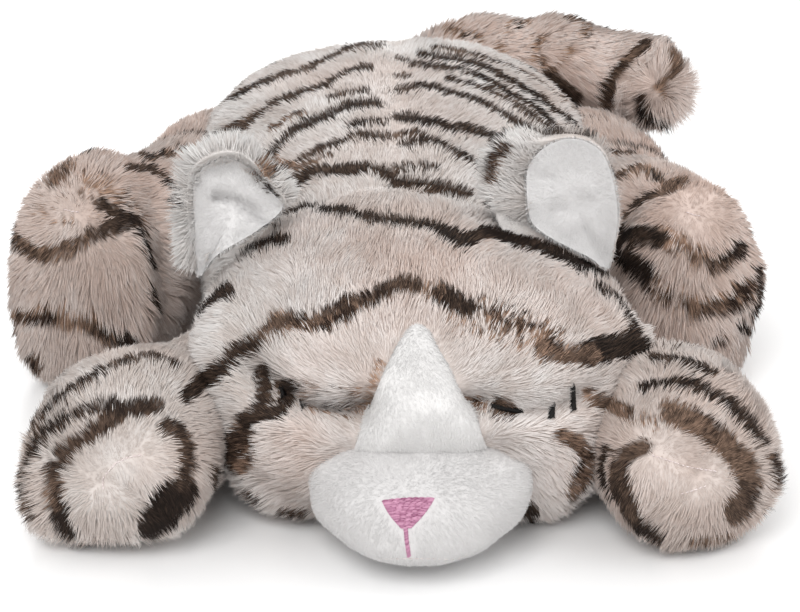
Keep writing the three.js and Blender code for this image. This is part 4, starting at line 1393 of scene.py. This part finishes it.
class TigerFur(bpy.types.PropertyGroup):
    """Settings of the long pile"""

    pile_share: FloatProperty(name="Pile length", description="Length of the pile, as a share of its own",
                              default=1.0, min=0.5, max=1.2)
    strand_share: FloatProperty(name="Fullness", description="Number of strands, as a share of the full number",
                                default=1.0, min=0.05, max=1.05)
    strand_width: FloatProperty(name="Strand width", description="Thickness of one lock of pile",
                                default=0.00024, unit="LENGTH")
    carve: FloatProperty(name="Carved stripes", description="How much shorter the pile is in the dark stripes",
                         default=0.28, subtype="FACTOR")
    soften: FloatProperty(name="Softness", description="How far the strands share the light of the skin below",
                          default=0.8, subtype="FACTOR")
    pale: FloatVectorProperty(name="Pale pile", subtype="COLOR", default=(0.82, 0.79, 0.77),
                              description="Colour of the pale pile")
    # Painted highlight: the colour that the tips of the pile take as though they catch the light, and the cool white
    # of the least warm pile.
    white: FloatVectorProperty(name="Tip highlight", subtype="COLOR", default=(0.9, 0.885, 0.87),
                               description="Colour of the painted highlight on the pile's tips and of its coolest white")
    pale_shade: FloatVectorProperty(name="Pale pile, deeper", subtype="COLOR", default=(0.57, 0.5, 0.46),
                                    description="Deeper tone among the pale pile")
    # Painted shade: the colour that the pile darkens towards at its roots, where the strands shade each other.
    root: FloatVectorProperty(name="Painted root shade", subtype="COLOR", default=(0.56, 0.485, 0.44),
                              description="Painted shade of the pile at its root, where the strands shade each other")
    dark: FloatVectorProperty(name="Dark stripe", subtype="COLOR", default=(0.0065, 0.0045, 0.0038),
                              description="Colour of the dark stripes")
    dark_tip: FloatVectorProperty(name="Dark stripe, lit", subtype="COLOR", default=(0.02, 0.013, 0.0105),
                                  description="Lighter tone among the dark stripes")
    brown: FloatVectorProperty(name="Brown stripe", subtype="COLOR", default=(0.52, 0.34, 0.245),
                               description="Colour of the brown stripes")
    brown_shade: FloatVectorProperty(name="Brown stripe, deeper", subtype="COLOR", default=(0.028, 0.015, 0.01),
                                     description="Deeper tone among the brown stripes")
    blush: FloatVectorProperty(name="Blush", subtype="COLOR", default=(0.95, 0.775, 0.7),
                               description="Warm tone of the pale pile on face, feet and tail")
    sheen: FloatProperty(name="Sheen", description="Soft light at the edges of the pile", default=0.025,
                         subtype="FACTOR")


class TigerNap(bpy.types.PropertyGroup):
    """Settings of the short nap"""

    white: FloatVectorProperty(name="Nap", subtype="COLOR", default=(0.69, 0.675, 0.67),
                               description="Colour of the short nap on muzzle, bridge and ear linings")
    shade: FloatVectorProperty(name="Nap, deeper", subtype="COLOR", default=(0.6, 0.585, 0.58),
                               description="Deeper tone in the short nap")
    # Painted light: the ear linings take a lighter copy of the muzzle's nap, to lift the shade in their hollows.
    ear: FloatVectorProperty(name="Ear lining", subtype="COLOR", default=(0.79, 0.775, 0.77),
                             description="The nap's colour lightened on the ear linings, painted light against the shade in their hollows")
    # Painted light: the nose bridge takes a lighter copy of the muzzle's nap, where it faces up into the light.
    bridge: FloatVectorProperty(name="Nose bridge", subtype="COLOR", default=(0.76, 0.745, 0.735),
                                description="The nap's colour lightened on the nose bridge, painted light where it faces up into the light")
    bridge_rise: FloatProperty(name="Bridge rise", description="How far the nose bridge stands above the skin",
                               default=0.0052, unit="LENGTH")


class TigerThread(bpy.types.PropertyGroup):
    """Colours of the threads"""

    pink: FloatVectorProperty(name="Pink thread", subtype="COLOR", default=(0.65, 0.34, 0.48),
                              description="Colour of the nose and mouth stitches")
    pink_deep: FloatVectorProperty(name="Pink thread, deeper", subtype="COLOR", default=(0.25, 0.07, 0.15),
                                   description="Deeper tone among the pink stitches")
    dark: FloatVectorProperty(name="Dark thread", subtype="COLOR", default=(0.008, 0.0065, 0.006),
                              description="Colour of the lashes and eye lines")
    dark_deep: FloatVectorProperty(name="Dark thread, deeper", subtype="COLOR", default=(0.004, 0.0035, 0.0035),
                                   description="Deeper tone among the dark stitches")
    pale: FloatVectorProperty(name="Pale thread", subtype="COLOR", default=(0.85, 0.78, 0.76),
                              description="Colour of the gathers and the chin seam")
    pale_deep: FloatVectorProperty(name="Pale thread, deeper", subtype="COLOR", default=(0.66, 0.56, 0.55),
                                   description="Deeper tone among the pale stitches")


class TigerStage(bpy.types.PropertyGroup):
    """Settings of the floor and the light"""

    floor: FloatVectorProperty(name="Floor", subtype="COLOR", default=(0.985, 0.985, 0.985),
                               description="Colour of the plain floor")
    world: FloatProperty(name="Surrounding light", description="Strength of the light all round", default=0.82)
    key: FloatProperty(name="Key light", description="Power of the large soft light", default=23.0,
                       subtype="POWER")
    fill: FloatProperty(name="Fill light", description="Power of the weaker soft light", default=6.0,
                        subtype="POWER")
    back: FloatProperty(name="Back light", description="Power of the soft light from behind", default=9.0,
                        subtype="POWER")


# Bags


def lat_long_map(mesh, rings, sides):
    """A map of a closed ring form, with no face folded on itself."""
    layer = mesh.uv_layers.new(name=MAP_NAME)
    side = np.arange(sides)
    height = 1.0 / (rings + 1)
    spots = []
    for a in side:
        spots += [((a + 0.5) / sides, 0), (a / sides, height), ((a + 1) / sides, height)]
    for ring in range(rings - 1):
        low, high = (ring + 1) * height, (ring + 2) * height
        for a in side:
            spots += [(a / sides, low), (a / sides, high), ((a + 1) / sides, high), ((a + 1) / sides, low)]
    for a in side:
        spots += [((a + 0.5) / sides, 1.0), ((a + 1) / sides, 1 - height), (a / sides, 1 - height)]
    layer.uv.foreach_set("vector", (np.array(spots) * 0.996 + 0.002).astype(np.float32).ravel())


def stuff(piece, body, solids):
    """Attach a padded piece to the body that it rides on, and hide the solids that it stands for."""
    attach(piece, body)
    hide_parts(*solids)


# The skin takes the colour that its pile has at this share of the way up, so it carries part of the painted shade at
# the pile's root
SKIN_SHARE = 0.35


def dress_bag(bag, comb, pile, cover):
    """Make a bag's skin and its fur, and hide the solids that they stand for."""
    body, fill, seed, solids = BAGS[bag.name]
    fur = bpy.context.scene.tiger_fur
    material = fur_material("striped fur", fur)
    pile = pile * fur.pile_share
    luck = np.random.RandomState(seed).rand(len(bag.points))
    dark, brown = pattern_of(bag, bag.points + comb * 0.4 * pile[:, None], luck)
    pile = pile * (1 - fur.carve * dark)
    plant_fur(bag, comb, pile, cover, body, "striped_fur", seed, PILES[kind(bag.name)], material)
    piece = mesh_piece(f"{bag.name}_pelt", bag.points, bag.faces, material)
    lat_long_map(piece.data, bag.rings, bag.sides)
    tone = lattice_noise(bag.points, *SKIN_TONE)
    dye = np.stack([dark, brown, tone, np.full(len(dark), SKIN_SHARE)], 1)
    store(piece.data, "dye", "FLOAT_COLOR", dye)
    store(piece.data, "blush", "FLOAT", blush_of(bag, bag.points))
    stuff(piece, body, solids)


def dress(name):
    """Make one of the main bags with its fur."""
    bag = pelt(name)
    lean = PILES[kind(name)][2]
    comb = unit(bag.normals * math.cos(lean) + flow_of(bag, bag.points, bag.normals) * math.sin(lean))
    dress_bag(bag, comb, pile_of(bag, bag.points), cover_of(bag))


def cushion_piece(name, made, body, material, solids):
    """A padded piece of short nap, of points and faces in rings."""
    points, faces, rings, sides = made
    piece = mesh_piece(name, points, faces, material)
    lat_long_map(piece.data, rings, sides)
    stuff(piece, body, solids)


class TIGER_OT_body(bpy.types.Operator):
    """Make the body's pelt and its fur"""

    bl_idname = "tiger.body"
    bl_label = "Body pelt"

    def execute(self, context):
        dress("body")
        return {"FINISHED"}


class TIGER_OT_head(bpy.types.Operator):
    """Make the head's pelt and its fur"""

    bl_idname = "tiger.head"
    bl_label = "Head pelt"

    def execute(self, context):
        dress("head")
        return {"FINISHED"}


class TIGER_OT_legs(bpy.types.Operator):
    """Make the four legs' pelts and their fur"""

    bl_idname = "tiger.legs"
    bl_label = "Leg pelts"

    def execute(self, context):
        for name in LEGS:
            dress(name)
        return {"FINISHED"}


class TIGER_OT_tail(bpy.types.Operator):
    """Make the tail's pelt and its fur"""

    bl_idname = "tiger.tail"
    bl_label = "Tail pelt"

    def execute(self, context):
        dress("tail")
        return {"FINISHED"}


class TIGER_OT_muzzle(bpy.types.Operator):
    """Make the stuffed muzzle in short nap"""

    bl_idname = "tiger.muzzle"
    bl_label = "Muzzle"

    def execute(self, context):
        bag = pelt("muzzle")
        made = bag.points, bag.faces, bag.rings, bag.sides
        cushion_piece("muzzle_pelt", made, "head", white_nap(), ["muzzle_cover", "muzzle_stuffing"])
        cover = smooth_between(0.8, 2.4, outline_distance(bag, bag.points, NOSE_OUTLINE))
        cover *= 1 - smooth_between(2, 4, pelt("head").depth_of(bag.points))
        away = bag.points - seen_on(bag.tree, (406, 508)) + (0, 0, -12)
        fuzz("muzzle", bag.points, bag.faces, away, cover, "head", white_nap())
        return {"FINISHED"}


# Bridge, ears and embroidery


# Points between two pixels of an outline
RIM_STEPS = 12


def evened(outline, count):
    """A closed outline of pixels made smooth, with evenly spaced points."""
    ring = flat(outline)
    full = np.vstack([ring[-3:], ring, ring[:3]])
    smooth = path_line(full, RIM_STEPS)[3 * RIM_STEPS : (3 + len(ring)) * RIM_STEPS + 1, :2]
    lengths = lengths_of(smooth)
    return read_at(np.linspace(0, lengths[-1], count, endpoint=False), lengths, smooth)


# Points round each cushion's rim, and rings from its middle to its rim
CUSHIONS = {"bridge": (84, 14), "lining": (84, 20), "ear": (64, 12)}


def cushion(outline, middle, sides, rings, place):
    """Points and faces of a closed flat cushion; place(pixels, share, front) gives its points."""
    rim = evened(outline, sides)
    middle = np.array(middle, float)
    shares = np.sin(math.pi / 2 * np.arange(1, rings + 1) / rings)
    start = place(middle[None], np.zeros(1), True)
    end = place(middle[None], np.zeros(1), False)
    grid = [place(middle + (rim - middle) * share, np.full(sides, share), True) for share in shares]
    grid += [place(middle + (rim - middle) * share, np.full(sides, share), False) for share in shares[-2::-1]]
    count = len(grid)
    points = np.vstack([start, *grid, end])
    faces = ring_faces(count, sides)
    middle_point = points.mean(0)
    volume = sum(
        np.dot(points[f[0]] - middle_point, np.cross(points[f[1]] - middle_point, points[f[2]] - middle_point))
        for f in faces
    )
    if volume < 0:
        order = np.concatenate([[0], 1 + (np.arange(count)[:, None] * sides + (-np.arange(sides)) % sides).ravel(),
                                [1 + count * sides]])
        points = points[order]
    return points, faces, count, sides


def close_normals(bag, points):
    """Smooth normals of a bag at the places nearest to points."""
    found = []
    for point in points:
        corners = bag.faces[bag.tree.find_nearest(Vector(point))[2]]
        near = 1 / (norms(bag.points[list(corners)] - point) + 0.05)
        found.append((bag.normals[list(corners)] * near[:, None]).sum(0))
    return unit(np.array(found))


@once
def thread_tree(name):
    """Geometry Nodes that turn every drawn line into a thread."""
    board, given, outside = new_growth(name, [
        ("Thickness", "Float", 0.0005), ("Sides", "Int", 6), ("Material", "Material", None)])
    line = board.wire("GeometryNodeMeshToCurve", None, {"Mesh": given["Mesh"]})
    round_ = board.wire("GeometryNodeCurvePrimitiveCircle", None, {
        "Resolution": given["Sides"], "Radius": given["Thickness"] / 2})
    laid = board.wire("GeometryNodeCurveToMesh", None, {"Curve": line, "Profile Curve": round_, "Fill Caps": True})
    loose = board.wire("GeometryNodeRealizeInstances", None, {"Geometry": laid})
    return board.ended(loose, given["Material"], outside)


# Thickness of each sort of stitch in mm, and the seed of its tones
THREADS = {"nose": (0.62, 21), "mouth": (0.55, 22), "chin": (0.4, 23), "eye": (0.6, 31), "lash": (0.6, 32),
           "gathers": (0.5, 41)}
THREAD_SIDES = 6


def sewn(name, sort, stitches, material, body, slot, *solids):
    """One piece of many threads; every stitch is a line of points in millimetres."""
    thickness, seed = THREADS[sort]
    points, edges, tone = [], [], []
    chance = np.random.RandomState(seed)
    for stitch in stitches:
        first = len(points)
        points += list(stitch)
        edges += [(k, k + 1) for k in range(first, len(points) - 1)]
        tone += [chance.rand()] * len(stitch)
    mesh = bpy.data.meshes.new(name)
    mesh.from_pydata([tuple(p) for p in np.array(points) * MM], edges, [])
    store(mesh, "tone", "FLOAT", np.array(tone))
    piece = grown(placed(name + "_lines", mesh), thread_tree("Thread"), {
        "Thickness": thickness * MM, "Sides": THREAD_SIDES, "Material": material}, name)
    piece.data.polygons.foreach_set("use_smooth", [True] * len(piece.data.polygons))
    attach(piece, body)
    if solids:
        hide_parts(*solids)


def stitch_over(bag, start, end, rise, sink=0.25, steps=5):
    """A stitch laid over a bag between two pixels, its ends sunk and its middle raised."""
    pixels = [np.array(start) + (np.array(end) - np.array(start)) * k / (steps - 1) for k in range(steps)]
    places = laid(bag.tree, pixels)
    lift = np.sin(math.pi * np.linspace(0, 1, steps)) ** 0.5 * (rise + sink) - sink
    return places + close_normals(bag, places) * lift[:, None]


def satin_band(bag, line, width, pitch, rise):
    """Stitches laid side by side across a line of pixels."""
    line = np.array(line, float)
    lengths = lengths_of(line)
    stitches = []
    for k, far in enumerate(np.arange(pitch / 2, lengths[-1], pitch)):
        spot = read_at(far, lengths, line)
        run = read_at(far + 0.5, lengths, line) - read_at(far - 0.5, lengths, line)
        across = np.array((-run[1], run[0])) / np.linalg.norm(run)
        lean = run / np.linalg.norm(run) * 0.22 * width
        half = width / 2 * (0.94 + 0.1 * (k % 3))
        stitches.append(stitch_over(bag, spot - across * half - lean, spot + across * half + lean, rise))
    return stitches


@once
def thread_material(name, deep, light):
    """Satin stitched thread: two tones from stitch to stitch, and a fine twist."""
    material, board, shader = new_material(name, {
        "Roughness": 0.45, "Specular IOR Level": 0.3, "Sheen Weight": 0.2 * light[0]})
    tone = Wire(board, board.painted("tone").outputs[2])
    twist = board.noise(board.wire("ShaderNodeTexCoord", None, None, 3), 2600, 2)
    share = (tone * 0.75 + twist * 0.5 - 0.1).clipped()
    board.coat(shader, board.mixed(share, deep, light), twist, 0.4, 0.0002)
    return material


BRIDGE_MIDDLE = (420, 412)


class TIGER_OT_bridge(bpy.types.Operator):
    """Make the padded nose bridge in short nap"""

    bl_idname = "tiger.bridge"
    bl_label = "Nose bridge"

    def execute(self, context):
        nap = context.scene.tiger_nap
        bag = pelt("head")

        def place(pixels, share, front):
            points = laid(bag.tree, pixels)
            rise = nap.bridge_rise / MM * (1 - share**4) ** 0.5 if front else -1.6 * (1 - share**2)
            if front:
                rise *= 1 - 0.75 * smooth_between(405, 450, np.asarray(pixels)[:, 1])
            swell = sway(points, *BRIDGE_SWELL) * 1.6 * (1 - share) if front else 0
            return points + close_normals(bag, points) * (rise + swell + 1.2)[:, None]

        made = cushion(BRIDGE_OUTLINE, BRIDGE_MIDDLE, *CUSHIONS["bridge"], place)
        # The bridge's nap is a lighter copy of the muzzle's: painted light where the bridge faces up into the light.
        white = nap_material("bridge nap", nap.bridge, deeper(nap.bridge))
        cushion_piece("bridge_patch", made, "head", white, ["nose_bridge"])
        cover = np.where(bag_normals_at(bag, made[0])[:, 1] * vertex_normals(made[0], made[1])[:, 1] > -0.2, 1.0, 0.0)
        fuzz("bridge", made[0], made[1], np.tile((0.1, 0.2, -1.0), (len(made[0]), 1)), cover, "head", white)
        return {"FINISHED"}


EAR_MIDDLES = {"left": (234, 212), "right": (570, 196)}
EAR_PLANE = -76.0
EAR_BACK_OUTLINES = {
    "left": [(196, 164), (210, 155), (226, 151), (243, 154), (256, 164), (271, 182), (287, 205), (276, 217),
             (262, 227), (251, 234), (239, 240.5), (225, 248.5), (213, 258), (205, 269), (199, 279), (193, 266),
             (190, 248), (189, 228), (187, 204), (189, 178)],
    "right": [(500, 154), (518, 144), (551, 139), (570, 136.5), (590, 141), (604, 152), (612, 170), (617, 190),
              (619.5, 208), (619, 229), (615, 247), (607.5, 270), (588, 260), (556, 250), (520, 242), (502, 230),
              (494, 206), (493, 176)],
}
# Folds and swellings of the linings: (depth in mm, radius in pixels, pixels)
EAR_FOLDS = {
    "left": [
        (2.0, 4.5, [(216, 199), (226, 200), (238, 203), (250, 211), (260, 220), (268, 227)]),
        (-1.6, 9, [(214, 184), (232, 186), (250, 194), (264, 206)]), (-2, 14, [(214, 246), (224, 232), (236, 228)]),
    ],
    "right": [
        (0.8, 5, [(532, 179), (542, 177), (552, 179)]), (0.7, 6, [(556, 212), (570, 209), (588, 201)]),
        (-0.8, 10, [(560, 192), (580, 182), (592, 190)]), (-1.4, 12, [(566, 226), (588, 218), (598, 236)]),
    ],
}
# Base of each ear, in pixels, from which its hair fans out
EAR_BASES = {"left": (245, 262), "right": (556, 268)}


def ear_dish(hand, pixels, share):
    """How far the lining lies back from the ear's rim, in mm."""
    pixels = np.asarray(pixels, float)
    deep = 5 * (1 - share**2)
    for depth, radius, line in EAR_FOLDS[hand]:
        line = np.array(line, float)
        far = np.min([norms(from_segment(pixels, a, b)) for a, b in zip(line, line[1:])], axis=0)
        deep = deep + depth * bell(far, radius) * (1 - share**4)
    return deep


def on_ear(pixels, deep):
    """Points behind pixels, at depths back from the plane of the ears' rims."""
    return np.array([on_plane(pixel, EAR_PLANE + back) for pixel, back in zip(pixels, deep)])


class EarBack:
    """The furred back of an ear, a thin closed cushion that stands on the head."""

    def __init__(self, hand):
        self.name, self.hand = f"ear_{hand}", hand

        def place(pixels, share, front):
            if front:
                return on_ear(pixels, np.where(share >= 1, 2.2, ear_dish(hand, pixels, share) + 1.8))
            flat = on_ear(pixels, np.full(len(pixels), 2.2))
            flat[:, 1] += np.where(share >= 1, 0, 10 * (1 - share**2) ** 0.5 + 2.5)
            return flat

        made = cushion(EAR_BACK_OUTLINES[hand], EAR_MIDDLES[hand], *CUSHIONS["ear"], place)
        self.points, self.faces, self.rings, self.sides = made
        self.normals = vertex_normals(self.points, self.faces)
        self.tree = tree_of(self.points, self.faces)
        self.sole = on_plane(EAR_BASES[hand], EAR_PLANE + 4) + np.array([(0, 0, 0), (0.01, 0, 0)])


# Where an ear's hair is short: (a pixel on the edge, the way out across it, how much shorter)
EAR_BARE_EDGES = {
    "left": [((240, 238), (0.56, 0.83), 0.97)],
    "right": [((548, 147), (0.8, -0.6), 0.9), ((604, 200), (1, 0.1), 0.92), ((572, 244), (-0.42, 0.9), 0.9)],
}


class TIGER_OT_ears(bpy.types.Operator):
    """Make the two ears: a lining of short nap and a furred back"""

    bl_idname = "tiger.ears"
    bl_label = "Ears"

    def execute(self, context):
        nap = context.scene.tiger_nap
        for hand in HANDS:
            def place(pixels, share, front):
                dish = ear_dish(hand, pixels, share) + (0 if front else 1.5)
                return on_ear(pixels, np.where(share >= 1, 0.6, dish))

            made = cushion(EAR_OUTLINES[hand], EAR_MIDDLES[hand], *CUSHIONS["lining"], place)
            # The linings' nap is a lighter copy of the muzzle's: painted light that lifts the shade in their hollows.
            lining = nap_material("ear nap", nap.ear, deeper(nap.ear))
            cushion_piece(f"ear_{hand}_lining_nap", made, f"ear_{hand}", lining, [f"ear_{hand}_lining"])
            away = unit(made[0] - on_plane(EAR_MIDDLES[hand], EAR_PLANE + 9))
            fuzz(f"ear_{hand}_lining", made[0], made[1], away * (1, 0.3, 1), np.ones(len(away)),
                 f"ear_{hand}", lining)
            bag = EarBack(hand)
            away = unit(0.45 * (bag.points - bag.sole[0]) + bag.points - on_plane(EAR_MIDDLES[hand], EAR_PLANE + 3))
            pixels = pixels_of(bag.points)
            front = bag.normals[:, 1] < 0.15
            rim = flat(EAR_OUTLINES[hand] + EAR_OUTLINES[hand][:1])
            far = line_distance(flat(pixels), rim, 12)
            under = front & inside_outline(pixels, EAR_OUTLINES[hand])
            cover = np.where(under, smooth_between(7, 3, far), 1.0)
            upright = (front * smooth_between(11, 3, far))[:, None]
            comb = unit(away * (1 - 0.2 * upright) + (0.5 + 0.4 * upright) * bag.normals
                        + 0.55 * noise_vector(bag.points, *EAR_WAVE))
            pile = np.full(len(bag.points), PILES["ear"][0]) * (0.75 + 0.5 * lattice_noise(bag.points, *EAR_PATCHES))
            for spot, out, shorter in EAR_BARE_EDGES[hand]:
                beyond = (pixels - spot) @ unit(np.array(out, float))
                pile *= 1 - shorter * smooth_between(-10, 2, beyond) * np.where(bag.normals[:, 1] < 0.6, 1, 0.3)
            depth = pelt("head").depth_of(bag.points)
            cover *= 1 - smooth_between(2, 6, depth)
            dress_bag(bag, comb, pile, cover)
        return {"FINISHED"}


# Top and bottom ends of the nose's sides in pixels, its rows, and about how long each of its stitches is in pixels
NOSE_SIDES = {"left": ((382.0, 500.6), (401.5, 528.5)), "right": ((434.5, 498), (411, 527.8))}
NOSE_ROWS = 26
NOSE_STITCH = 6.5
MOUTH_LINE = [(405.6, 527), (406.6, 540), (409, 557)]
# Where the chin seam's stitches start, and how long each is, in pixels across the picture
CHIN_STARTS, CHIN_STITCH = range(372, 466, 6), 5


def chin_seam(x):
    """A pixel of the seam below the mouth."""
    return x, 558.4 + 0.0006 * (x - 412) ** 2


class TIGER_OT_nose(bpy.types.Operator):
    """Embroider the nose and the mouth line"""

    bl_idname = "tiger.nose"
    bl_label = "Nose and mouth"

    def execute(self, context):
        thread = context.scene.tiger_thread
        bag = pelt("muzzle")
        pink = thread_material("pink thread", thread.pink_deep, thread.pink)
        stitches = []
        for row in range(NOSE_ROWS):
            share = (row + 0.5) / NOSE_ROWS
            bow = np.array((0, -1.4 * (1 - share)))
            out = 2.2 * math.sin(math.pi * share) * np.array((1.0, 0))
            a, b = (np.array(top) + (np.array(low) - np.array(top)) * share + out * HANDS[hand]
                    for hand, (top, low) in NOSE_SIDES.items())
            pieces = max(1, round((b[0] - a[0]) / NOSE_STITCH))
            shift = 0.5 * (row % 2) + 0.25 * ((row * 7) % 3)
            edges = [0, *((k + shift) / (pieces + 0.5) for k in range(1, pieces)), 1]
            ends = [a + (b - a) * at + bow * math.sin(math.pi * at) for at in edges]
            stitches += [stitch_over(bag, start, end, 0.55, 0.1) for start, end in zip(ends, ends[1:])]
        sewn("nose_stitches", "nose", stitches, pink, "head", "pink_thread", "nose_embroidery")
        mouth = satin_band(bag, MOUTH_LINE, 3.7, 1.1, 0.45)
        sewn("mouth_stitches", "mouth", mouth, pink, "head", "pink_thread", "mouth_stitch")
        seam = [stitch_over(bag, chin_seam(x), chin_seam(x + CHIN_STITCH), 0.12, 0.2) for x in CHIN_STARTS]
        pale = thread_material("pale thread", thread.pale_deep, thread.pale)
        sewn("chin_seam_stitches", "chin", seam, pale, "head", "white_nap")
        return {"FINISHED"}


class TIGER_OT_eyes(bpy.types.Operator):
    """Embroider the closed eyes and their lashes"""

    bl_idname = "tiger.eyes"
    bl_label = "Closed eyes"

    def execute(self, context):
        thread = context.scene.tiger_thread
        bag = pelt("head")
        dark = thread_material("dark thread", thread.dark_deep, thread.dark)
        for hand in HANDS:
            width, rise = EYE_SATIN[hand]
            line = satin_band(bag, EYE_LINES[hand], width, 1.3, rise)
            sewn(f"eye_line_{hand}_stitches", "eye", line, dark, "head", "dark_thread", f"eye_line_{hand}")
            lashes = LASHES[hand] if hand == "right" else LASHES[hand][::-1]
            for label, lash, wide in zip(("inner", "outer"), lashes, (6.4, 5.4)):
                band = satin_band(bag, lash, wide, 1.15, 2)
                lash_name = f"eyelash_{hand}_{label}"
                sewn(f"{lash_name}_stitches", "lash", band, dark, "head", "dark_thread", lash_name)
        return {"FINISHED"}


# About how far apart the stitches of a gather are, in pixels
GATHER_STITCH = 4.5
# Gathers sewn at the middle of a sole, in pixels
SOLE_GATHERS = {
    "front_leg_left": [[(141, 455), (128, 457), (116, 463), (105, 475)], [(104, 476), (103, 483), (104, 490)]],
    "front_leg_right": [[(652, 455), (668, 460), (690, 467), (718, 471)], [(680, 494), (694, 490), (707, 485)]],
    "hind_leg_left": [[(64, 209), (71, 211), (80, 212)]],
    "hind_leg_right": [[(686, 212), (694, 215), (701, 216)]],
}


class TIGER_OT_soles(bpy.types.Operator):
    """Sew the gathers at the middle of each sole"""

    bl_idname = "tiger.soles"
    bl_label = "Sole gathers"

    def execute(self, context):
        thread = context.scene.tiger_thread
        pale = thread_material("pale thread", thread.pale_deep, thread.pale)
        for name, lines in SOLE_GATHERS.items():
            bag = pelt(name)
            stitches = []
            for line in lines:
                for start, end in zip(line, line[1:]):
                    start, end = np.array(start, float), np.array(end, float)
                    pieces = max(1, round(math.dist(start, end) / GATHER_STITCH))
                    for k in range(pieces):
                        a = start + (end - start) * k / pieces
                        b = start + (end - start) * (k + 0.8) / pieces
                        stitches.append(stitch_over(bag, a, b, 0.5, 0.3))
            sewn(f"{name}_gathers", "gathers", stitches, pale, name, "striped_fur")
        return {"FINISHED"}


# Half the floor's width in m, and how far it lies below the toy in mm
FLOOR_HALF, FLOOR_DROP = 14.0, 0.25
# Lamps, each as strong as the setting of its name: (name, place, width) in m; what they all point at
LAMPS = [("key", (-0.45, -1.5, 1.6), 1.3), ("fill", (1.3, -0.6, 1.1), 1.4), ("back", (-0.2, 1.7, 1.1), 1.2)]
LAMP_AIM = Vector((0, 0.02, 0.05))


class TIGER_OT_stage(bpy.types.Operator):
    """Set the camera, the plain floor and the soft light"""

    bl_idname = "tiger.stage"
    bl_label = "Stage"

    def execute(self, context):
        stage = context.scene.tiger_stage
        camera = bpy.data.cameras.new("camera")
        camera.sensor_width = SENSOR
        camera.lens = FOCAL_PIXELS * SENSOR / PICTURE[0]
        camera.clip_start, camera.clip_end = 0.05, 50
        holder = placed("camera", camera)
        holder.location = CAMERA_PLACE * MM
        holder.rotation_euler = (math.pi / 2 - CAMERA_PITCH, 0, 0)
        context.scene.camera = holder
        half = FLOOR_HALF / MM
        corners = [(x * half, y * half, -FLOOR_DROP) for x, y in ((-1, -1), (1, -1), (1, 1), (-1, 1))]
        floor = mesh_piece("floor", corners, [(0, 1, 2, 3)], smooth=False)
        settings = {"Base Color": colour(stage.floor), "Roughness": 0.32, "Specular IOR Level": 0.25}
        floor.data.materials.append(new_material("plain floor", settings)[0])
        floor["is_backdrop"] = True
        world = bpy.data.worlds.new("studio")
        world.use_nodes = True
        sky = world.node_tree.nodes["Background"].inputs
        sky["Color"].default_value, sky["Strength"].default_value = (1, 1, 1, 1), stage.world
        context.scene.world = world
        for label, place, width in LAMPS:
            lamp = bpy.data.lights.new(label, "AREA")
            lamp.shape, lamp.size, lamp.energy = "DISK", width, getattr(stage, label)
            post = placed(label, lamp)
            post.location = place
            post.rotation_euler = (LAMP_AIM - Vector(place)).to_track_quat("-Z", "Y").to_euler()
        context.scene.view_settings.view_transform = "Standard"
        return {"FINISHED"}


OPERATORS = [
    TIGER_OT_stage, TIGER_OT_body, TIGER_OT_head, TIGER_OT_legs, TIGER_OT_tail, TIGER_OT_muzzle,
    TIGER_OT_bridge, TIGER_OT_ears, TIGER_OT_nose, TIGER_OT_eyes, TIGER_OT_soles,
]
SETTINGS = {
    "tiger_fur": TigerFur, "tiger_nap": TigerNap, "tiger_thread": TigerThread, "tiger_stage": TigerStage,
}


class TIGER_PT_panel(bpy.types.Panel):
    """Sizes, colours and steps of the plush tiger"""

    bl_idname = "TIGER_PT_panel"
    bl_label = "Plush tiger"
    bl_space_type = "VIEW_3D"
    bl_region_type = "UI"
    bl_category = "Plush tiger"

    def draw(self, context):
        for step in OPERATORS:
            self.layout.operator(step.bl_idname)
        for name, group in SETTINGS.items():
            box = self.layout.box()
            for key in group.__annotations__:
                box.prop(getattr(context.scene, name), key)


def register():
    """Register the settings, the steps and the panel."""
    for group in SETTINGS.values():
        bpy.utils.register_class(group)
    for name, group in SETTINGS.items():
        setattr(bpy.types.Scene, name, PointerProperty(type=group))
    for step in OPERATORS + [TIGER_PT_panel]:
        bpy.utils.register_class(step)


def unregister():
    """Take away what register adds."""
    for step in [TIGER_PT_panel] + OPERATORS[::-1]:
        bpy.utils.unregister_class(step)
    for name in SETTINGS:
        delattr(bpy.types.Scene, name)
    for group in reversed(SETTINGS.values()):
        bpy.utils.unregister_class(group)


def plain(box):
    """A box's corners as plain lists of numbers."""
    return [[float(value) for value in corner] for corner in box]


def main():
    """Make every piece, then measure how large the model and its looks are."""
    register()
    for step in OPERATORS:
        area, call = step.bl_idname.split(".")
        getattr(getattr(bpy.ops, area), call)()
    {"cad": plain(CAD_BOX), "visual": plain(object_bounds())}


if __name__ == "__main__":
    main()
